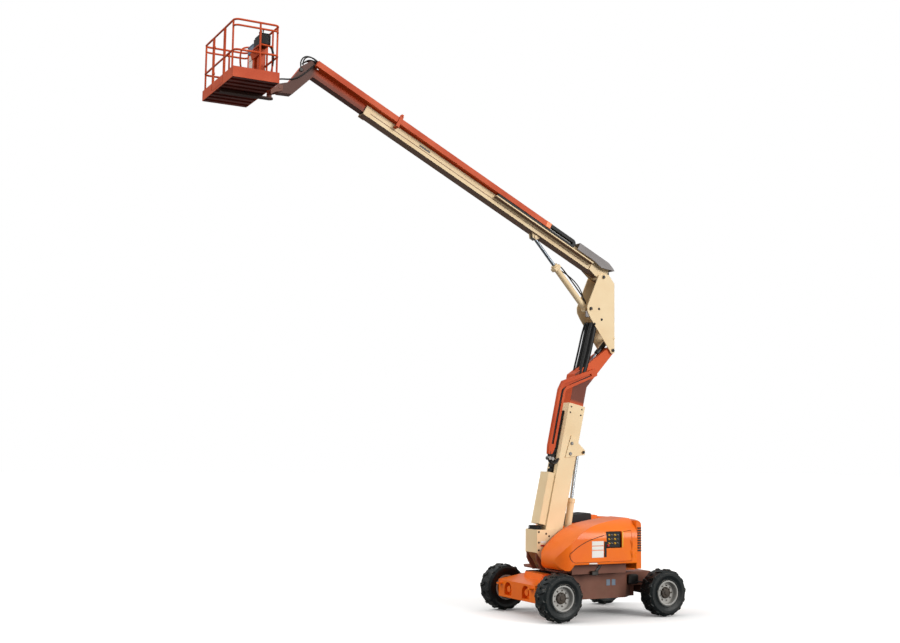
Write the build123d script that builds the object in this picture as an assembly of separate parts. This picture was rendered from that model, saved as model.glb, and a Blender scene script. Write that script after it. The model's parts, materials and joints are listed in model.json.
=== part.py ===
from build123d import *
import math
import os

# Articulating boom lift on four wheels, its tower raised and its main boom part way out.
# The origin is on the ground under the swing axis. +X points to the steered axle,
# the boom reaches over the driven axle towards -X, and +Z is up. All sizes are in mm.

os.makedirs("parts", exist_ok=True)

# Clearances
FIT = 0.3                    # between a pin and its bore, or a slide and its pad
GAP = 6.0                    # between pieces that move past each other

# Wheels and axles
WHEEL_BASE = 2480
TRACK = 2110
TYRE_OD = 940
TYRE_WIDTH = 370
TREAD_WIDTH = 300
TYRE_SIDES = 24              # flats round the casing
CASING_RADIUS = 442
SHOULDER_RADIUS = 395
SIDEWALL_RADIUS = 345        # where the sidewall starts to dish
LUG_COUNT = 14               # tread lugs in each of two rows
LUG_WIDTH = 64
LUG_TURN = 24                # lug's lean from the axle's direction, in degrees
BEAD_WIDTH = 300
RIM_SEAT_RADIUS = 228
RIM_WALL = 10
FLANGE_RADIUS = 250
FLANGE_THICKNESS = 12
DISC_OFFSET = 60             # wheel disc, outboard of the tyre's middle plane
DISC_THICKNESS = 16
HUB_RADIUS = 95
HUB_DEPTH = 130
HUB_INNER = -30              # inboard face of the hub, from the tyre's middle plane
SPINDLE_RADIUS = 45
DRIVE_HOUSING_RADIUS = 150
KINGPIN_INSET = 255          # kingpin inboard of the tyre's middle plane
KINGPIN_RADIUS = 30
KNUCKLE_RADIUS = 62
YOKE_THICKNESS = 32
STEER_ARM = 155
TIE_ROD_RADIUS = 18

# Chassis
FRAME_BOTTOM = 350
FRAME_TOP = 830
FRAME_HALF = 620             # half width between the axles
FRAME_NECK_HALF = 430        # half width beside the steered wheels
FRAME_WALL = 40
AXLE_BEAM_HALF = 80
AXLE_BEAM_HEIGHT = 140
DRIVE_BEAM_REAR = -1545
DRIVE_BEAM_FRONT = -960
DRIVE_BEAM_HALF = 700
DRIVE_BEAM_BOTTOM = 335
DRIVE_BEAM_NOSE = 670        # height of the box's outer end, which rises towards the frame
DRIVE_BEAM_TOP = 770
DRIVE_HUMP_TOP = 840
DRIVE_HUMP_HALF = 330
ARCH_RADIUS = 135
ARCH_DEPTH = 110
ARCH_Y = 335
ARCH_BOSS = 62
LUG_HOLE_RADIUS = 25
LUG_THICKNESS = 30
LUG_SIZE = 90

# Turntable
BEARING_RADIUS = 480
BEARING_WIDTH = 90
BEARING_TOP = 868
DECK_BOTTOM = 900
DECK_TOP = 930
DECK_HALF = 880
DECK_FRONT = -1000
DECK_REAR = 560
MOUNT_PLATE = 20
HOOD_INNER = 292             # hood wall beside the tower, from the middle plane
HOOD_OUTER = 1100
HOOD_WALL = 25
HOOD_REAR = 580
HOOD_NOSE = -1200
HOOD_TURN_X = -230           # behind this line both hoods have the same side outline
FAR_NOSE_SHARE = 0.5         # the far hood's nose is this share of the near one's
HOOD_BOTTOM = 1075
SKIRT_HALF = 900             # outer face of the skirt under the hoods
SKIRT_FOOT = 872
MOUNT_FRONT = -1210
MOUNT_FOOT = 1250
MOUNT_TOP = 1700
MOUNT_CHIN = -1085
HINGE_X = 452                # hood door hinge
HINGE_OUT = 12               # hinge axis, outside the hood's wall
HINGE_RADIUS = 9
HINGE_LENGTH = 60
DOOR_GAP = 8
VENT_FRONT = -640            # louvred cover on the far hood
VENT_REAR = 420
VENT_CHEEK = 12              # thickness of the cover beside the hood's inner wall
VENT_OUTER = 720
VENT_SLATS = 12
TAIL_BULGE = 1050
TAIL_HALF = 1080
TAIL_TOP = 1900
TAIL_ROUND = 90
TAIL_BOTTOM = 955

# Tower
TOWER_X = -852
TOWER_Z = 1400
TOWER_ANGLE = 77.7
TOWER_DEPTH = 390
TOWER_WIDTH = 370
TOWER_WALL = 12
TOWER_FOOT = -180
TOWER_TOP = 2870
TOWER_FLY_DEPTH = 330
TOWER_FLY_WIDTH = 310
TOWER_FLY_REAR = 600
TOWER_PIN_RADIUS = 40
UPRIGHT_ALONG = 4185         # upright's pivot, along the tower from its own pivot
UPRIGHT_BELOW = 604          # and behind the tower's middle line
TOWER_LIFT_ALONG = 1955
TOWER_LIFT_BELOW = 331
TOWER_LIFT_X = -450
TOWER_LIFT_Z = 1030
TOWER_BARREL_RADIUS = 70
TOWER_BARREL_LENGTH = 1290
TOWER_ROD_RADIUS = 36
TOWER_ROD_START = 1040       # inner end of the rod, from the barrel's pin
EYE_PIN_RADIUS = 30

# Upright
UPRIGHT_OUTER = 200
UPRIGHT_PLATE = 20
UPRIGHT_PIN_RADIUS = 40
LEVEL_FLY_DISTANCE = 607     # level cylinder's pins, from the upright's pivot
LEVEL_FLY_ANGLE = 212.9
LEVEL_UPRIGHT_DISTANCE = 250
LEVEL_UPRIGHT_ANGLE = 82.9
LEVEL_BARREL_RADIUS = 48
LEVEL_BARREL_LENGTH = 440
LEVEL_ROD_START = 370
LEVEL_ROD_RADIUS = 25
LEVEL_PIN_RADIUS = 22
LEVEL_SLOT_HALF = 70         # slot in the tower's nose for the level cylinder
LEVEL_SLOT_TURN = -30.7

# Main boom
BOOM_X = 400
BOOM_Z = 6880
BOOM_ANGLE = 26.7
BOOM_RISE = 109              # boom's middle line above its pivot
BOOM_DEPTH = 260
BOOM_WIDTH = 240
BOOM_WALL = 10
BOOM_REAR = -100
BOOM_TIP = 6150
BOOM_PIN_RADIUS = 40
BOOM_EAR = 28
FLY_DEPTH = 180
FLY_WIDTH = 190
FLY_WALL = 8
FLY_REAR = 1700
FLY_FRONT = 7330
NOSE_ALONG = 7765
NOSE_RISE = -541
NOSE_PIN_RADIUS = 30
BOOM_LIFT_ALONG = 1750
BOOM_LIFT_RISE = -65
BOOM_LIFT_X = 80
BOOM_LIFT_Z = 6200
BOOM_BARREL_RADIUS = 62
BOOM_BARREL_LENGTH = 1170
BOOM_ROD_RADIUS = 34
BOOM_ROD_START = 560
TRAY_RISE = 106
TRAY_LIP = 25
TRAY_OUT = 235
TRAY_REAR = 366
TRAY_FRONT = 2980
CHAIN_WIDTH = 90
CHAIN_DEPTH = 70
CHAIN_LOOP_ALONG = 1010
CHAIN_PITCH = 110
CHAIN_SLIT = 12
PUSH_TUBE_REAR = 1633
PUSH_TUBE_DEPTH = 113
PUSH_TUBE_LAP = 45           # push tube's underside below the boom's top
COVER_WALL = 6

# Platform
PLATFORM_REACH = 565         # platform's middle, ahead of the rotator
PLATFORM_DEPTH = 860
PLATFORM_LENGTH = 1830
PLATFORM_DROP = 178          # platform's underside below the gooseneck's pin
RAIL_HEIGHT = 1066
SECOND_RAIL_DROP = 105
MID_RAIL_HEIGHT = 500
RAIL_RADIUS = 19
KICK_HEIGHT = 190
KICK_PLATE = 8
FLOOR_THICKNESS = 8
SLAT_COUNT = 9
SLAT_WIDTH = 95
SLAT_DEPTH = 26
GATE_HALF = 330
ROTATOR_REACH = 165          # rotator's axis, ahead of the gooseneck's pin
ROTATOR_RADIUS = 45
ROTATOR_HEIGHT = 200
ROTATOR_DROP = 18            # rotator's foot below the platform's underside
SUPPORT_EAR = 20

NEAR = -1
FAR = 1


def turned(angle):
    """Unit vector in the X-Z plane, counted from +X towards +Z."""
    radians = math.radians(angle)
    return Vector(math.cos(radians), 0, math.sin(radians))


# Working planes. In TOWER and SIDE the third axis points to the near side (-Y), in BOOM to the far side.
SIDE = Plane.XZ
TOWER = Plane((TOWER_X, 0, TOWER_Z), x_dir=turned(TOWER_ANGLE), z_dir=(0, -1, 0))
BOOM = Plane((BOOM_X, 0, BOOM_Z), x_dir=turned(180 - BOOM_ANGLE), z_dir=(0, 1, 0))

# Points that several pieces share
UPRIGHT_PIVOT = TOWER.from_local_coords(Vector(UPRIGHT_ALONG, -UPRIGHT_BELOW, 0))
TOWER_LIFT_TOP = TOWER.from_local_coords(Vector(TOWER_LIFT_ALONG, -TOWER_LIFT_BELOW, 0))
TOWER_LIFT_FOOT = Vector(TOWER_LIFT_X, 0, TOWER_LIFT_Z)
LEVEL_FLY_PIN = UPRIGHT_PIVOT + turned(LEVEL_FLY_ANGLE) * LEVEL_FLY_DISTANCE
LEVEL_UPRIGHT_PIN = UPRIGHT_PIVOT + turned(LEVEL_UPRIGHT_ANGLE) * LEVEL_UPRIGHT_DISTANCE
BOOM_LIFT_TOP = BOOM.from_local_coords(Vector(BOOM_LIFT_ALONG, BOOM_LIFT_RISE, 0))
BOOM_LIFT_FOOT = Vector(BOOM_LIFT_X, 0, BOOM_LIFT_Z)
NOSE_PIN = BOOM.from_local_coords(Vector(NOSE_ALONG, NOSE_RISE, 0))
ROTATOR_X = NOSE_PIN.X - ROTATOR_REACH
PLATFORM_X = ROTATOR_X - PLATFORM_REACH
PLATFORM_Z = NOSE_PIN.Z - PLATFORM_DROP
ROTATOR_BOTTOM = PLATFORM_Z - ROTATOR_DROP
ROTATOR_TOP = ROTATOR_BOTTOM + ROTATOR_HEIGHT

WHEEL_Z = TYRE_OD / 2
AXLE_X = WHEEL_BASE / 2
KINGPIN_Y = TRACK / 2 - KINGPIN_INSET
BOOM_TOP = BOOM_RISE + BOOM_DEPTH / 2
BOOM_UNDER = BOOM_RISE - BOOM_DEPTH / 2
PUSH_TUBE_UNDER = BOOM_TOP - PUSH_TUBE_LAP
PUSH_TUBE_TOP = PUSH_TUBE_UNDER + PUSH_TUBE_DEPTH
UPRIGHT_INNER = UPRIGHT_OUTER - UPRIGHT_PLATE


def save(shape, node):
    """Write one sub-part."""
    export_step(shape, f"parts/{node}.step")


def block(x, y, z):
    """A block between two limits on each axis."""
    corner = [min(limits) for limits in (x, y, z)]
    size = [max(limits) - min(limits) for limits in (x, y, z)]
    return Pos(*corner) * Box(*size, align=(Align.MIN, Align.MIN, Align.MIN))


def bar(start, end, radius):
    """A round bar between two points."""
    axis = Vector(end) - Vector(start)
    return Part() + Solid.make_cylinder(radius, axis.length, Plane(Vector(start), z_dir=axis))


def cross_pin(point, half_length, radius):
    """A round pin across the machine through a point of the middle plane."""
    reach = Vector(0, half_length, 0)
    return bar(Vector(point) - reach, Vector(point) + reach, radius)


def face_of(points, round_off=0):
    """A flat outline with straight edges, its corners rounded where asked."""
    face = make_face(Polyline(*points, close=True))
    return fillet(face.vertices(), round_off) if round_off else face


def plate(points, low, high, round_off=0):
    """A plate with this outline in the working plane, between two heights."""
    return Pos(0, 0, low) * extrude(face_of(points, round_off), high - low, dir=(0, 0, 1))


def two_plates(points, inner, outer, round_off=0):
    """The same plate on both sides of the middle plane."""
    return plate(points, inner, outer, round_off) + plate(points, -outer, -inner, round_off)


def ring(inner, outer, low, high):
    """A round ring about the working plane's third axis."""
    tall = high - low
    solid = Cylinder(outer, tall) - Cylinder(inner, tall) if inner else Cylinder(outer, tall)
    return Pos(0, 0, (low + high) / 2) * solid


def tube(points, radius, bend):
    """A round tube along straight runs joined by bends of one radius."""
    path = FilletPolyline(*points, radius=bend)
    return sweep(Plane(path @ 0, z_dir=path % 0) * Circle(radius), path=path)


def box_tube(along, height, half_width, wall):
    """A hollow box section along the working plane's first axis, open at its far end."""
    outer = block(along, height, (-half_width, half_width))
    inner = block(
        (along[0] + wall, along[1] + wall),
        (height[0] + wall, height[1] - wall),
        (wall - half_width, half_width - wall),
    )
    return outer - inner


def cylinder_barrel(foot, top, radius, length, bore, pin_radius, eye_half):
    """A hydraulic barrel from its foot pin towards its rod's pin, with an eye and a gland."""
    axis = (Vector(top) - Vector(foot)).normalized()
    eye_radius = pin_radius + 32
    gland = radius + 12
    body = bar(foot + axis * eye_radius * 0.7, foot + axis * length, radius)
    body += bar(foot + axis * (length - 90), foot + axis * (length - 4), gland)
    body += cross_pin(foot, eye_half, eye_radius)
    body -= bar(foot + axis * (eye_radius + 12), foot + axis * (length + 10), bore)
    return body - cross_pin(foot, eye_half + 10, pin_radius + FIT)


def cylinder_rod(foot, top, start, radius, eye_radius, eye_half, pin_radius):
    """A hydraulic rod from inside its barrel to an eye at its pin."""
    axis = (Vector(top) - Vector(foot)).normalized()
    body = bar(foot + axis * start, top - axis * eye_radius * 0.6, radius - FIT)
    body += cross_pin(top, eye_half, eye_radius)
    return body - cross_pin(top, eye_half + 10, pin_radius + FIT)


# Wheels: tyre and rim turn together on a spindle

def casing():
    """The tyre's casing about its own axle: flats from sidewall to sidewall, and dished sidewalls."""
    widest = TYRE_WIDTH / 2
    tread = TREAD_WIDTH / 2
    half = BEAD_WIDTH / 2
    rows = [(SHOULDER_RADIUS, -widest), (CASING_RADIUS, -tread), (CASING_RADIUS, tread), (SHOULDER_RADIUS, widest)]
    form = loft([Pos(0, 0, z) * RegularPolygon(radius, TYRE_SIDES) for radius, z in rows], ruled=True)
    lip = FLANGE_RADIUS + 4
    for side in (NEAR, FAR):
        ends = [(lip, half), (SIDEWALL_RADIUS, widest)]
        form -= loft([Pos(0, 0, side * z) * RegularPolygon(radius, TYRE_SIDES) for radius, z in ends], ruled=True)
    return form - Cylinder(RIM_SEAT_RADIUS + FIT, TYRE_WIDTH + 10)


def tread_lug():
    """One lug of the tread, from near the middle over the shoulder."""
    root = SHOULDER_RADIUS - 20
    tread = TREAD_WIDTH / 2
    lean = math.radians(LUG_TURN)
    corner = (tread - 15) * math.sin(lean) + LUG_WIDTH / 2 * math.cos(lean)
    top = math.sqrt((TYRE_OD / 2) ** 2 - corner ** 2)
    outline = [(root, 14), (top, 14), (top, tread - 15), (CASING_RADIUS + 2, tread + 22), (root, tread + 22)]
    form = Plane.XZ * extrude(face_of(outline), LUG_WIDTH / 2, both=True)
    return Rot(X=LUG_TURN) * form


def tyre():
    """A tyre with two staggered rows of lugs that lean like chevrons."""
    lug = tread_lug()
    other = mirror(lug, Plane.XY)
    pitch = 360 / LUG_COUNT
    lugs = [Rot(Z=step * pitch) * lug for step in range(LUG_COUNT)]
    lugs += [Rot(Z=(step + 0.5) * pitch) * other for step in range(LUG_COUNT)]
    return casing() + lugs


def rim():
    """A dished steel wheel: barrel, two flanges, disc and hub."""
    half = BEAD_WIDTH / 2
    edge = half + FIT
    barrel = ring(RIM_SEAT_RADIUS - RIM_WALL, RIM_SEAT_RADIUS, -edge - FLANGE_THICKNESS, edge + FLANGE_THICKNESS)
    flange = ring(RIM_SEAT_RADIUS - RIM_WALL, FLANGE_RADIUS, edge, edge + FLANGE_THICKNESS)
    flange += ring(RIM_SEAT_RADIUS - RIM_WALL, FLANGE_RADIUS, -edge - FLANGE_THICKNESS, -edge)
    disc = ring(HUB_RADIUS - 5, RIM_SEAT_RADIUS - RIM_WALL / 2, DISC_OFFSET, DISC_OFFSET + DISC_THICKNESS)
    hub = ring(SPINDLE_RADIUS + FIT, HUB_RADIUS, HUB_INNER, HUB_INNER + HUB_DEPTH)
    return barrel + flange + disc + hub


WHEELS = {
    "drive_right": (-AXLE_X, NEAR),
    "drive_left": (-AXLE_X, FAR),
    "steer_right": (AXLE_X, NEAR),
    "steer_left": (AXLE_X, FAR),
}
tyre_form = tyre()
rim_form = rim()
for name, (wheel_x, side) in WHEELS.items():
    axle = Plane((wheel_x, side * TRACK / 2, WHEEL_Z), z_dir=(0, side, 0))
    save(axle * tyre_form, f"tyre_{name}")
    save(axle * rim_form, f"rim_{name}")


# Chassis: welded frame, driven axle box and oscillating steered axle

def chassis_frame():
    """The box frame, wide between the axles and narrow beside the steered wheels."""
    neck = AXLE_X - 360
    nose = AXLE_X + 160
    wide_end = AXLE_X - 600
    half_plan = [(DRIVE_BEAM_FRONT, -FRAME_HALF), (wide_end, -FRAME_HALF), (neck, -FRAME_NECK_HALF), (nose, -FRAME_NECK_HALF)]
    plan = half_plan + [(x, -y) for x, y in reversed(half_plan)]
    frame = plate(plan, FRAME_BOTTOM, FRAME_TOP)
    bays = [DRIVE_BEAM_FRONT, (DRIVE_BEAM_FRONT + wide_end) / 2, wide_end]
    inner = FRAME_HALF - FRAME_WALL
    for rear, front in zip(bays, bays[1:]):
        bay = (rear + FRAME_WALL, front - FRAME_WALL)
        frame -= block(bay, (-inner, inner), (FRAME_BOTTOM - 10, FRAME_TOP - FRAME_WALL))
    axle_top = WHEEL_Z + AXLE_BEAM_HEIGHT / 2
    frame -= block((neck + 100, nose + 10), (-FRAME_HALF, FRAME_HALF), (FRAME_BOTTOM - 10, axle_top + 20))
    return frame


def drive_axle():
    """The driven axle's box with a boss in each of two arched recesses, wheel-motor housings and spindles."""
    outline = [
        (DRIVE_BEAM_REAR, DRIVE_BEAM_BOTTOM),
        (DRIVE_BEAM_REAR, DRIVE_BEAM_NOSE),
        (DRIVE_BEAM_FRONT, DRIVE_BEAM_TOP),
        (DRIVE_BEAM_FRONT, DRIVE_BEAM_BOTTOM),
    ]
    beam = SIDE * plate(outline, -DRIVE_BEAM_HALF, DRIVE_BEAM_HALF)
    hump = [
        (DRIVE_BEAM_FRONT - 230, DRIVE_BEAM_NOSE),
        (DRIVE_BEAM_FRONT - 190, DRIVE_HUMP_TOP),
        (DRIVE_BEAM_FRONT, DRIVE_HUMP_TOP),
        (DRIVE_BEAM_FRONT, DRIVE_BEAM_NOSE),
    ]
    beam += SIDE * plate(hump, -DRIVE_HUMP_HALF, DRIVE_HUMP_HALF)
    middle = (DRIVE_BEAM_BOTTOM + DRIVE_BEAM_NOSE) / 2
    for side in (NEAR, FAR):
        centre = Vector(DRIVE_BEAM_REAR - 10, side * ARCH_Y, middle)
        arch = bar(centre, centre + Vector(ARCH_DEPTH + 10, 0, 0), ARCH_RADIUS)
        arch += block(
            (DRIVE_BEAM_REAR - 10, DRIVE_BEAM_REAR + ARCH_DEPTH),
            (side * ARCH_Y - ARCH_RADIUS, side * ARCH_Y + ARCH_RADIUS),
            (DRIVE_BEAM_BOTTOM + 45, middle),
        )
        beam -= arch
        beam += bar(centre + Vector(30, 0, 0), centre + Vector(ARCH_DEPTH + 20, 0, 0), ARCH_BOSS)
        hub_face = TRACK / 2 + HUB_INNER - GAP
        beam += bar((-AXLE_X, side * (DRIVE_BEAM_HALF - 5), WHEEL_Z), (-AXLE_X, side * hub_face, WHEEL_Z), DRIVE_HOUSING_RADIUS)
        spindle_end = TRACK / 2 + HUB_INNER + HUB_DEPTH - 10
        beam += bar((-AXLE_X, side * (hub_face - 5), WHEEL_Z), (-AXLE_X, side * spindle_end, WHEEL_Z), SPINDLE_RADIUS)
    return beam


KNUCKLE_HALF = AXLE_BEAM_HEIGHT / 2 - 5


def steer_axle():
    """The steered axle's beam with a yoke round each kingpin and a pivot block under the frame."""
    half = AXLE_BEAM_HEIGHT / 2
    low = WHEEL_Z - half
    high = WHEEL_Z + half
    inner_end = KINGPIN_Y - KNUCKLE_RADIUS - 14
    beam = block((AXLE_X - AXLE_BEAM_HALF, AXLE_X + AXLE_BEAM_HALF), (-inner_end, inner_end), (low, high))
    for side in (NEAR, FAR):
        swing_room = [
            (AXLE_X - 20, side * (inner_end + 1)),
            (AXLE_X - AXLE_BEAM_HALF - 2, side * (inner_end + 1)),
            (AXLE_X - AXLE_BEAM_HALF - 2, side * (inner_end - 50)),
        ]
        beam -= plate(swing_room, low - 1, high + 1)
    beam += block((AXLE_X - AXLE_BEAM_HALF, AXLE_X + AXLE_BEAM_HALF), (-120, 120), (high, high + 20))
    for side in (NEAR, FAR):
        for bottom in (low - YOKE_THICKNESS, high):
            ear = block(
                (AXLE_X - KNUCKLE_RADIUS, AXLE_X + KNUCKLE_RADIUS),
                (side * (inner_end - 90), side * KINGPIN_Y),
                (bottom, bottom + YOKE_THICKNESS),
            )
            ear += Pos(AXLE_X, side * KINGPIN_Y, bottom) * ring(0, KNUCKLE_RADIUS, 0, YOKE_THICKNESS)
            beam += ear - Pos(AXLE_X, side * KINGPIN_Y, bottom) * ring(0, KINGPIN_RADIUS + FIT, -5, YOKE_THICKNESS + 5)
    return beam


def knuckle(side):
    """A steering knuckle: kingpin, body, spindle and arm."""
    low = WHEEL_Z - AXLE_BEAM_HEIGHT / 2
    high = WHEEL_Z + AXLE_BEAM_HEIGHT / 2
    kingpin = (AXLE_X, side * KINGPIN_Y, 0)
    body = Pos(*kingpin) * ring(0, KNUCKLE_RADIUS, low + 5, high - 5)
    body += Pos(*kingpin) * ring(0, KINGPIN_RADIUS, low - YOKE_THICKNESS - 4, high + YOKE_THICKNESS + 4)
    hub_face = TRACK / 2 + HUB_INNER - GAP
    spindle_end = TRACK / 2 + HUB_INNER + HUB_DEPTH - 10
    body += bar((AXLE_X, side * KINGPIN_Y, WHEEL_Z), (AXLE_X, side * spindle_end, WHEEL_Z), SPINDLE_RADIUS)
    body += bar((AXLE_X, side * (hub_face - 40), WHEEL_Z), (AXLE_X, side * hub_face, WHEEL_Z), HUB_RADIUS + 20)
    arm = block(
        (AXLE_X - STEER_ARM - 30, AXLE_X),
        (side * (KINGPIN_Y - 40), side * (KINGPIN_Y + 20)),
        (WHEEL_Z - 15, WHEEL_Z + 15),
    )
    return body + arm


def tie_rod():
    """The rod between the two steering arms, with a ball stud under each."""
    level = WHEEL_Z - 15 - FIT
    reach = KINGPIN_Y - 10
    rod_z = level - TIE_ROD_RADIUS - 8
    x = AXLE_X - STEER_ARM
    rod = bar((x, -reach, rod_z), (x, reach, rod_z), TIE_ROD_RADIUS)
    for side in (NEAR, FAR):
        rod += bar((x, side * (reach - 20), rod_z), (x, side * (reach - 20), level), TIE_ROD_RADIUS - 3)
    return rod


def tie_down_lugs():
    """Four drilled lugs, one at each corner of the chassis."""
    front = AXLE_X + 160
    lugs = []
    for root, out, half, level in ((DRIVE_BEAM_REAR, -1, 590, DRIVE_BEAM_NOSE - 70), (front, 1, 330, FRAME_TOP - 140)):
        for side in (NEAR, FAR):
            lug = block(
                (root, root + out * LUG_SIZE),
                (side * half - LUG_SIZE / 2, side * half + LUG_SIZE / 2),
                (level - LUG_THICKNESS / 2, level + LUG_THICKNESS / 2),
            )
            hole = Vector(root + out * LUG_SIZE / 2, side * half, level)
            reach = Vector(0, 0, LUG_THICKNESS)
            lugs.append(lug - bar(hole - reach, hole + reach, LUG_HOLE_RADIUS))
    return Compound(children=lugs)


save(chassis_frame(), "chassis_frame")
save(drive_axle(), "drive_axle")
save(steer_axle(), "steer_axle")
save(knuckle(NEAR), "knuckle_right")
save(knuckle(FAR), "knuckle_left")
save(tie_rod(), "tie_rod")
save(tie_down_lugs(), "tie_down_lugs")
save(ring(BEARING_RADIUS - BEARING_WIDTH, BEARING_RADIUS, FRAME_TOP, BEARING_TOP), "swing_bearing")


# Turntable: deck, tower mount, hoods with their doors, tail weight and what stands under the hoods

def turntable_frame():
    """The deck with its bearing ring, the tower's front bracket and the lift cylinder's ears."""
    half_plan = [(DECK_FRONT, -600), (DECK_FRONT + 150, -DECK_HALF), (DECK_REAR - 110, -DECK_HALF), (DECK_REAR, -700)]
    plan = half_plan + [(x, -y) for x, y in reversed(half_plan)]
    deck = plate(plan, DECK_BOTTOM, DECK_TOP)
    deck += ring(BEARING_RADIUS - BEARING_WIDTH, BEARING_RADIUS, BEARING_TOP + FIT, DECK_BOTTOM)
    bracket = [
        (MOUNT_FRONT + 5, MOUNT_FOOT - 5),
        (MOUNT_FRONT + 5, MOUNT_FOOT - 120),
        (MOUNT_FRONT + 140, DECK_BOTTOM),
        (-900, DECK_BOTTOM),
        (-900, DECK_TOP),
        (DECK_FRONT + 10, DECK_TOP),
        (MOUNT_CHIN, 1085),
    ]
    deck += SIDE * two_plates(bracket, 150, 195)
    for side, share in ((NEAR, 1), (FAR, FAR_NOSE_SHARE)):
        sill_front, skirt_front = [x for x, y in drawn_back([(-900, 0), (-840, 0)], share)]
        sill = (side * HOOD_INNER, side * (HOOD_INNER + HOOD_WALL))
        deck += block((sill_front, 500), sill, (DECK_TOP - 5, HOOD_BOTTOM - FIT))
        skirt = (side * (SKIRT_HALF - 25), side * SKIRT_HALF)
        deck += block((skirt_front, DECK_REAR - 110), skirt, (SKIRT_FOOT, HOOD_BOTTOM - 10))
    x = TOWER_LIFT_X
    ear = [(x - 80, DECK_TOP - 5), (x + 80, DECK_TOP - 5), (x + 50, TOWER_LIFT_Z + 60), (x - 50, TOWER_LIFT_Z + 60)]
    deck += SIDE * two_plates(ear, 72, 95)
    return deck + cross_pin(TOWER_LIFT_FOOT, 95, EYE_PIN_RADIUS)


def tower_mount():
    """Two cheek plates that carry the tower's pivot pin, closed in front."""
    cheek = [
        (MOUNT_FRONT, MOUNT_FOOT),
        (MOUNT_FRONT, MOUNT_TOP),
        (-640, MOUNT_TOP),
        (-560, 1500),
        (-540, DECK_TOP),
        (DECK_FRONT, DECK_TOP),
        (MOUNT_CHIN, 1090),
    ]
    inner = 200
    mount = SIDE * two_plates(cheek, inner, inner + MOUNT_PLATE)
    mount += block((MOUNT_FRONT, MOUNT_FRONT + MOUNT_PLATE), (-inner - 5, inner + 5), (MOUNT_FOOT, MOUNT_TOP))
    return mount + cross_pin((TOWER_X, 0, TOWER_Z), inner + 30, TOWER_PIN_RADIUS)


HOOD_PLAN = Plane((0, 0, 2200), x_dir=(1, 0, 0), z_dir=(0, 0, -1))
HOOD_END = Plane((900, 0, 0), x_dir=(0, -1, 0), z_dir=(-1, 0, 0))


def inset_points(points, amount):
    """Move each corner of a closed outline inwards by the same distance from both of its edges."""
    pairs = list(zip(points, points[1:] + points[:1]))
    turn = math.copysign(1, sum(x0 * y1 - x1 * y0 for (x0, y0), (x1, y1) in pairs))
    edges = [Vector(x1 - x0, y1 - y0).normalized() for (x0, y0), (x1, y1) in pairs]
    normals = [Vector(-edge.Y, edge.X) * turn for edge in edges]
    moved = []
    for (x, y), before, after in zip(points, normals[-1:] + normals[:-1], normals):
        shift = (before + after) * (amount / (1 + before.dot(after)))
        moved.append((x + shift.X, y + shift.Y))
    return moved


def drawn_back(points, share):
    """An outline whose nose is shortened to a share of its reach in front of the turn line."""
    return [(HOOD_TURN_X + (x - HOOD_TURN_X) * share if x < HOOD_TURN_X else x, y) for x, y in points]


def hood_block(inset, share):
    """A hood's moulded form: its side, plan and end outlines carried through each other."""
    low_nose = [(HOOD_NOSE + 120, 965), (HOOD_NOSE + 35, 1040), (HOOD_NOSE, 1140)]
    crown = [(HOOD_NOSE + 60, 1310), (-980, 1480), (-610, 1735), (HOOD_TURN_X, 1850), (500, 1950)]
    foot = [(HOOD_REAR, 1940), (HOOD_REAR, HOOD_BOTTOM), (-900, HOOD_BOTTOM), (-985, 965)]
    side = inset_points(drawn_back(low_nose + crown + foot, share), inset)
    side_face = make_face([Spline(*side[:8]), Polyline(*side[7:], side[0])])
    inner_nose = [(HOOD_NOSE + 90, HOOD_INNER), (HOOD_NOSE + 30, 315), (HOOD_NOSE, 390)]
    outer_nose = [(HOOD_NOSE, 800), (HOOD_NOSE + 80, 1010), (-900, HOOD_OUTER)]
    sides = [(HOOD_REAR, HOOD_OUTER), (HOOD_REAR, HOOD_INNER)]
    plan = inset_points(drawn_back(inner_nose + outer_nose + sides, share), inset)
    plan_face = make_face([
        ThreePointArc(*plan[:3]),
        Line(plan[2], plan[3]),
        ThreePointArc(*plan[3:6]),
        Polyline(*plan[5:], plan[0]),
    ])
    shoulder = [(HOOD_OUTER, 1520), (1010, 1800), (760, 1950)]
    wall = [(HOOD_INNER, 1990), (HOOD_INNER, 900), (HOOD_OUTER - 40, 900), (HOOD_OUTER, 1100)]
    end = inset_points(shoulder + wall, inset)
    end_face = make_face([ThreePointArc(*end[:3]), Polyline(*end[2:], end[0])])
    form = SIDE * extrude(side_face, 1300, dir=(0, 0, 1))
    form &= HOOD_PLAN * extrude(plan_face, 1400, dir=(0, 0, 1))
    return form & (HOOD_END * extrude(end_face, 2600, dir=(0, 0, 1)))


def door_prism(inset, share):
    """The door's outline carried through the hood's outer wall."""
    rise = [(-1010, 1290), (-760, 1460), (HOOD_TURN_X, 1630), (450, 1715)]
    rest = [(450, 1112), (-880, 1112), (-980, 1165)]
    outline = inset_points(drawn_back(rise + rest, share), inset)
    face = make_face([
        Spline(*outline[:4]), Polyline(*outline[3:6]), ThreePointArc(outline[5], outline[6], outline[0])
    ])
    return SIDE * extrude(Pos(0, 0, 880) * face, 400, dir=(0, 0, 1))


CONTROL_X = (-160, 210)
CONTROL_Z = (1380, 1700)


def hinge_knuckle(start, towards):
    """One knuckle of the door's hinge with its leaf, which reaches forwards or backwards."""
    axis_y = -HOOD_OUTER - HINGE_OUT
    knuckle_bar = bar((HINGE_X, axis_y, start), (HINGE_X, axis_y, start + HINGE_LENGTH), HINGE_RADIUS)
    leaf = block((HINGE_X, HINGE_X + towards), (axis_y - 4, -HOOD_OUTER - FIT), (start, start + HINGE_LENGTH))
    foot = (HINGE_X + math.copysign(14, towards), HINGE_X + towards)
    return knuckle_bar + leaf + block(foot, (axis_y, -HOOD_OUTER + 5), (start, start + HINGE_LENGTH))


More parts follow.
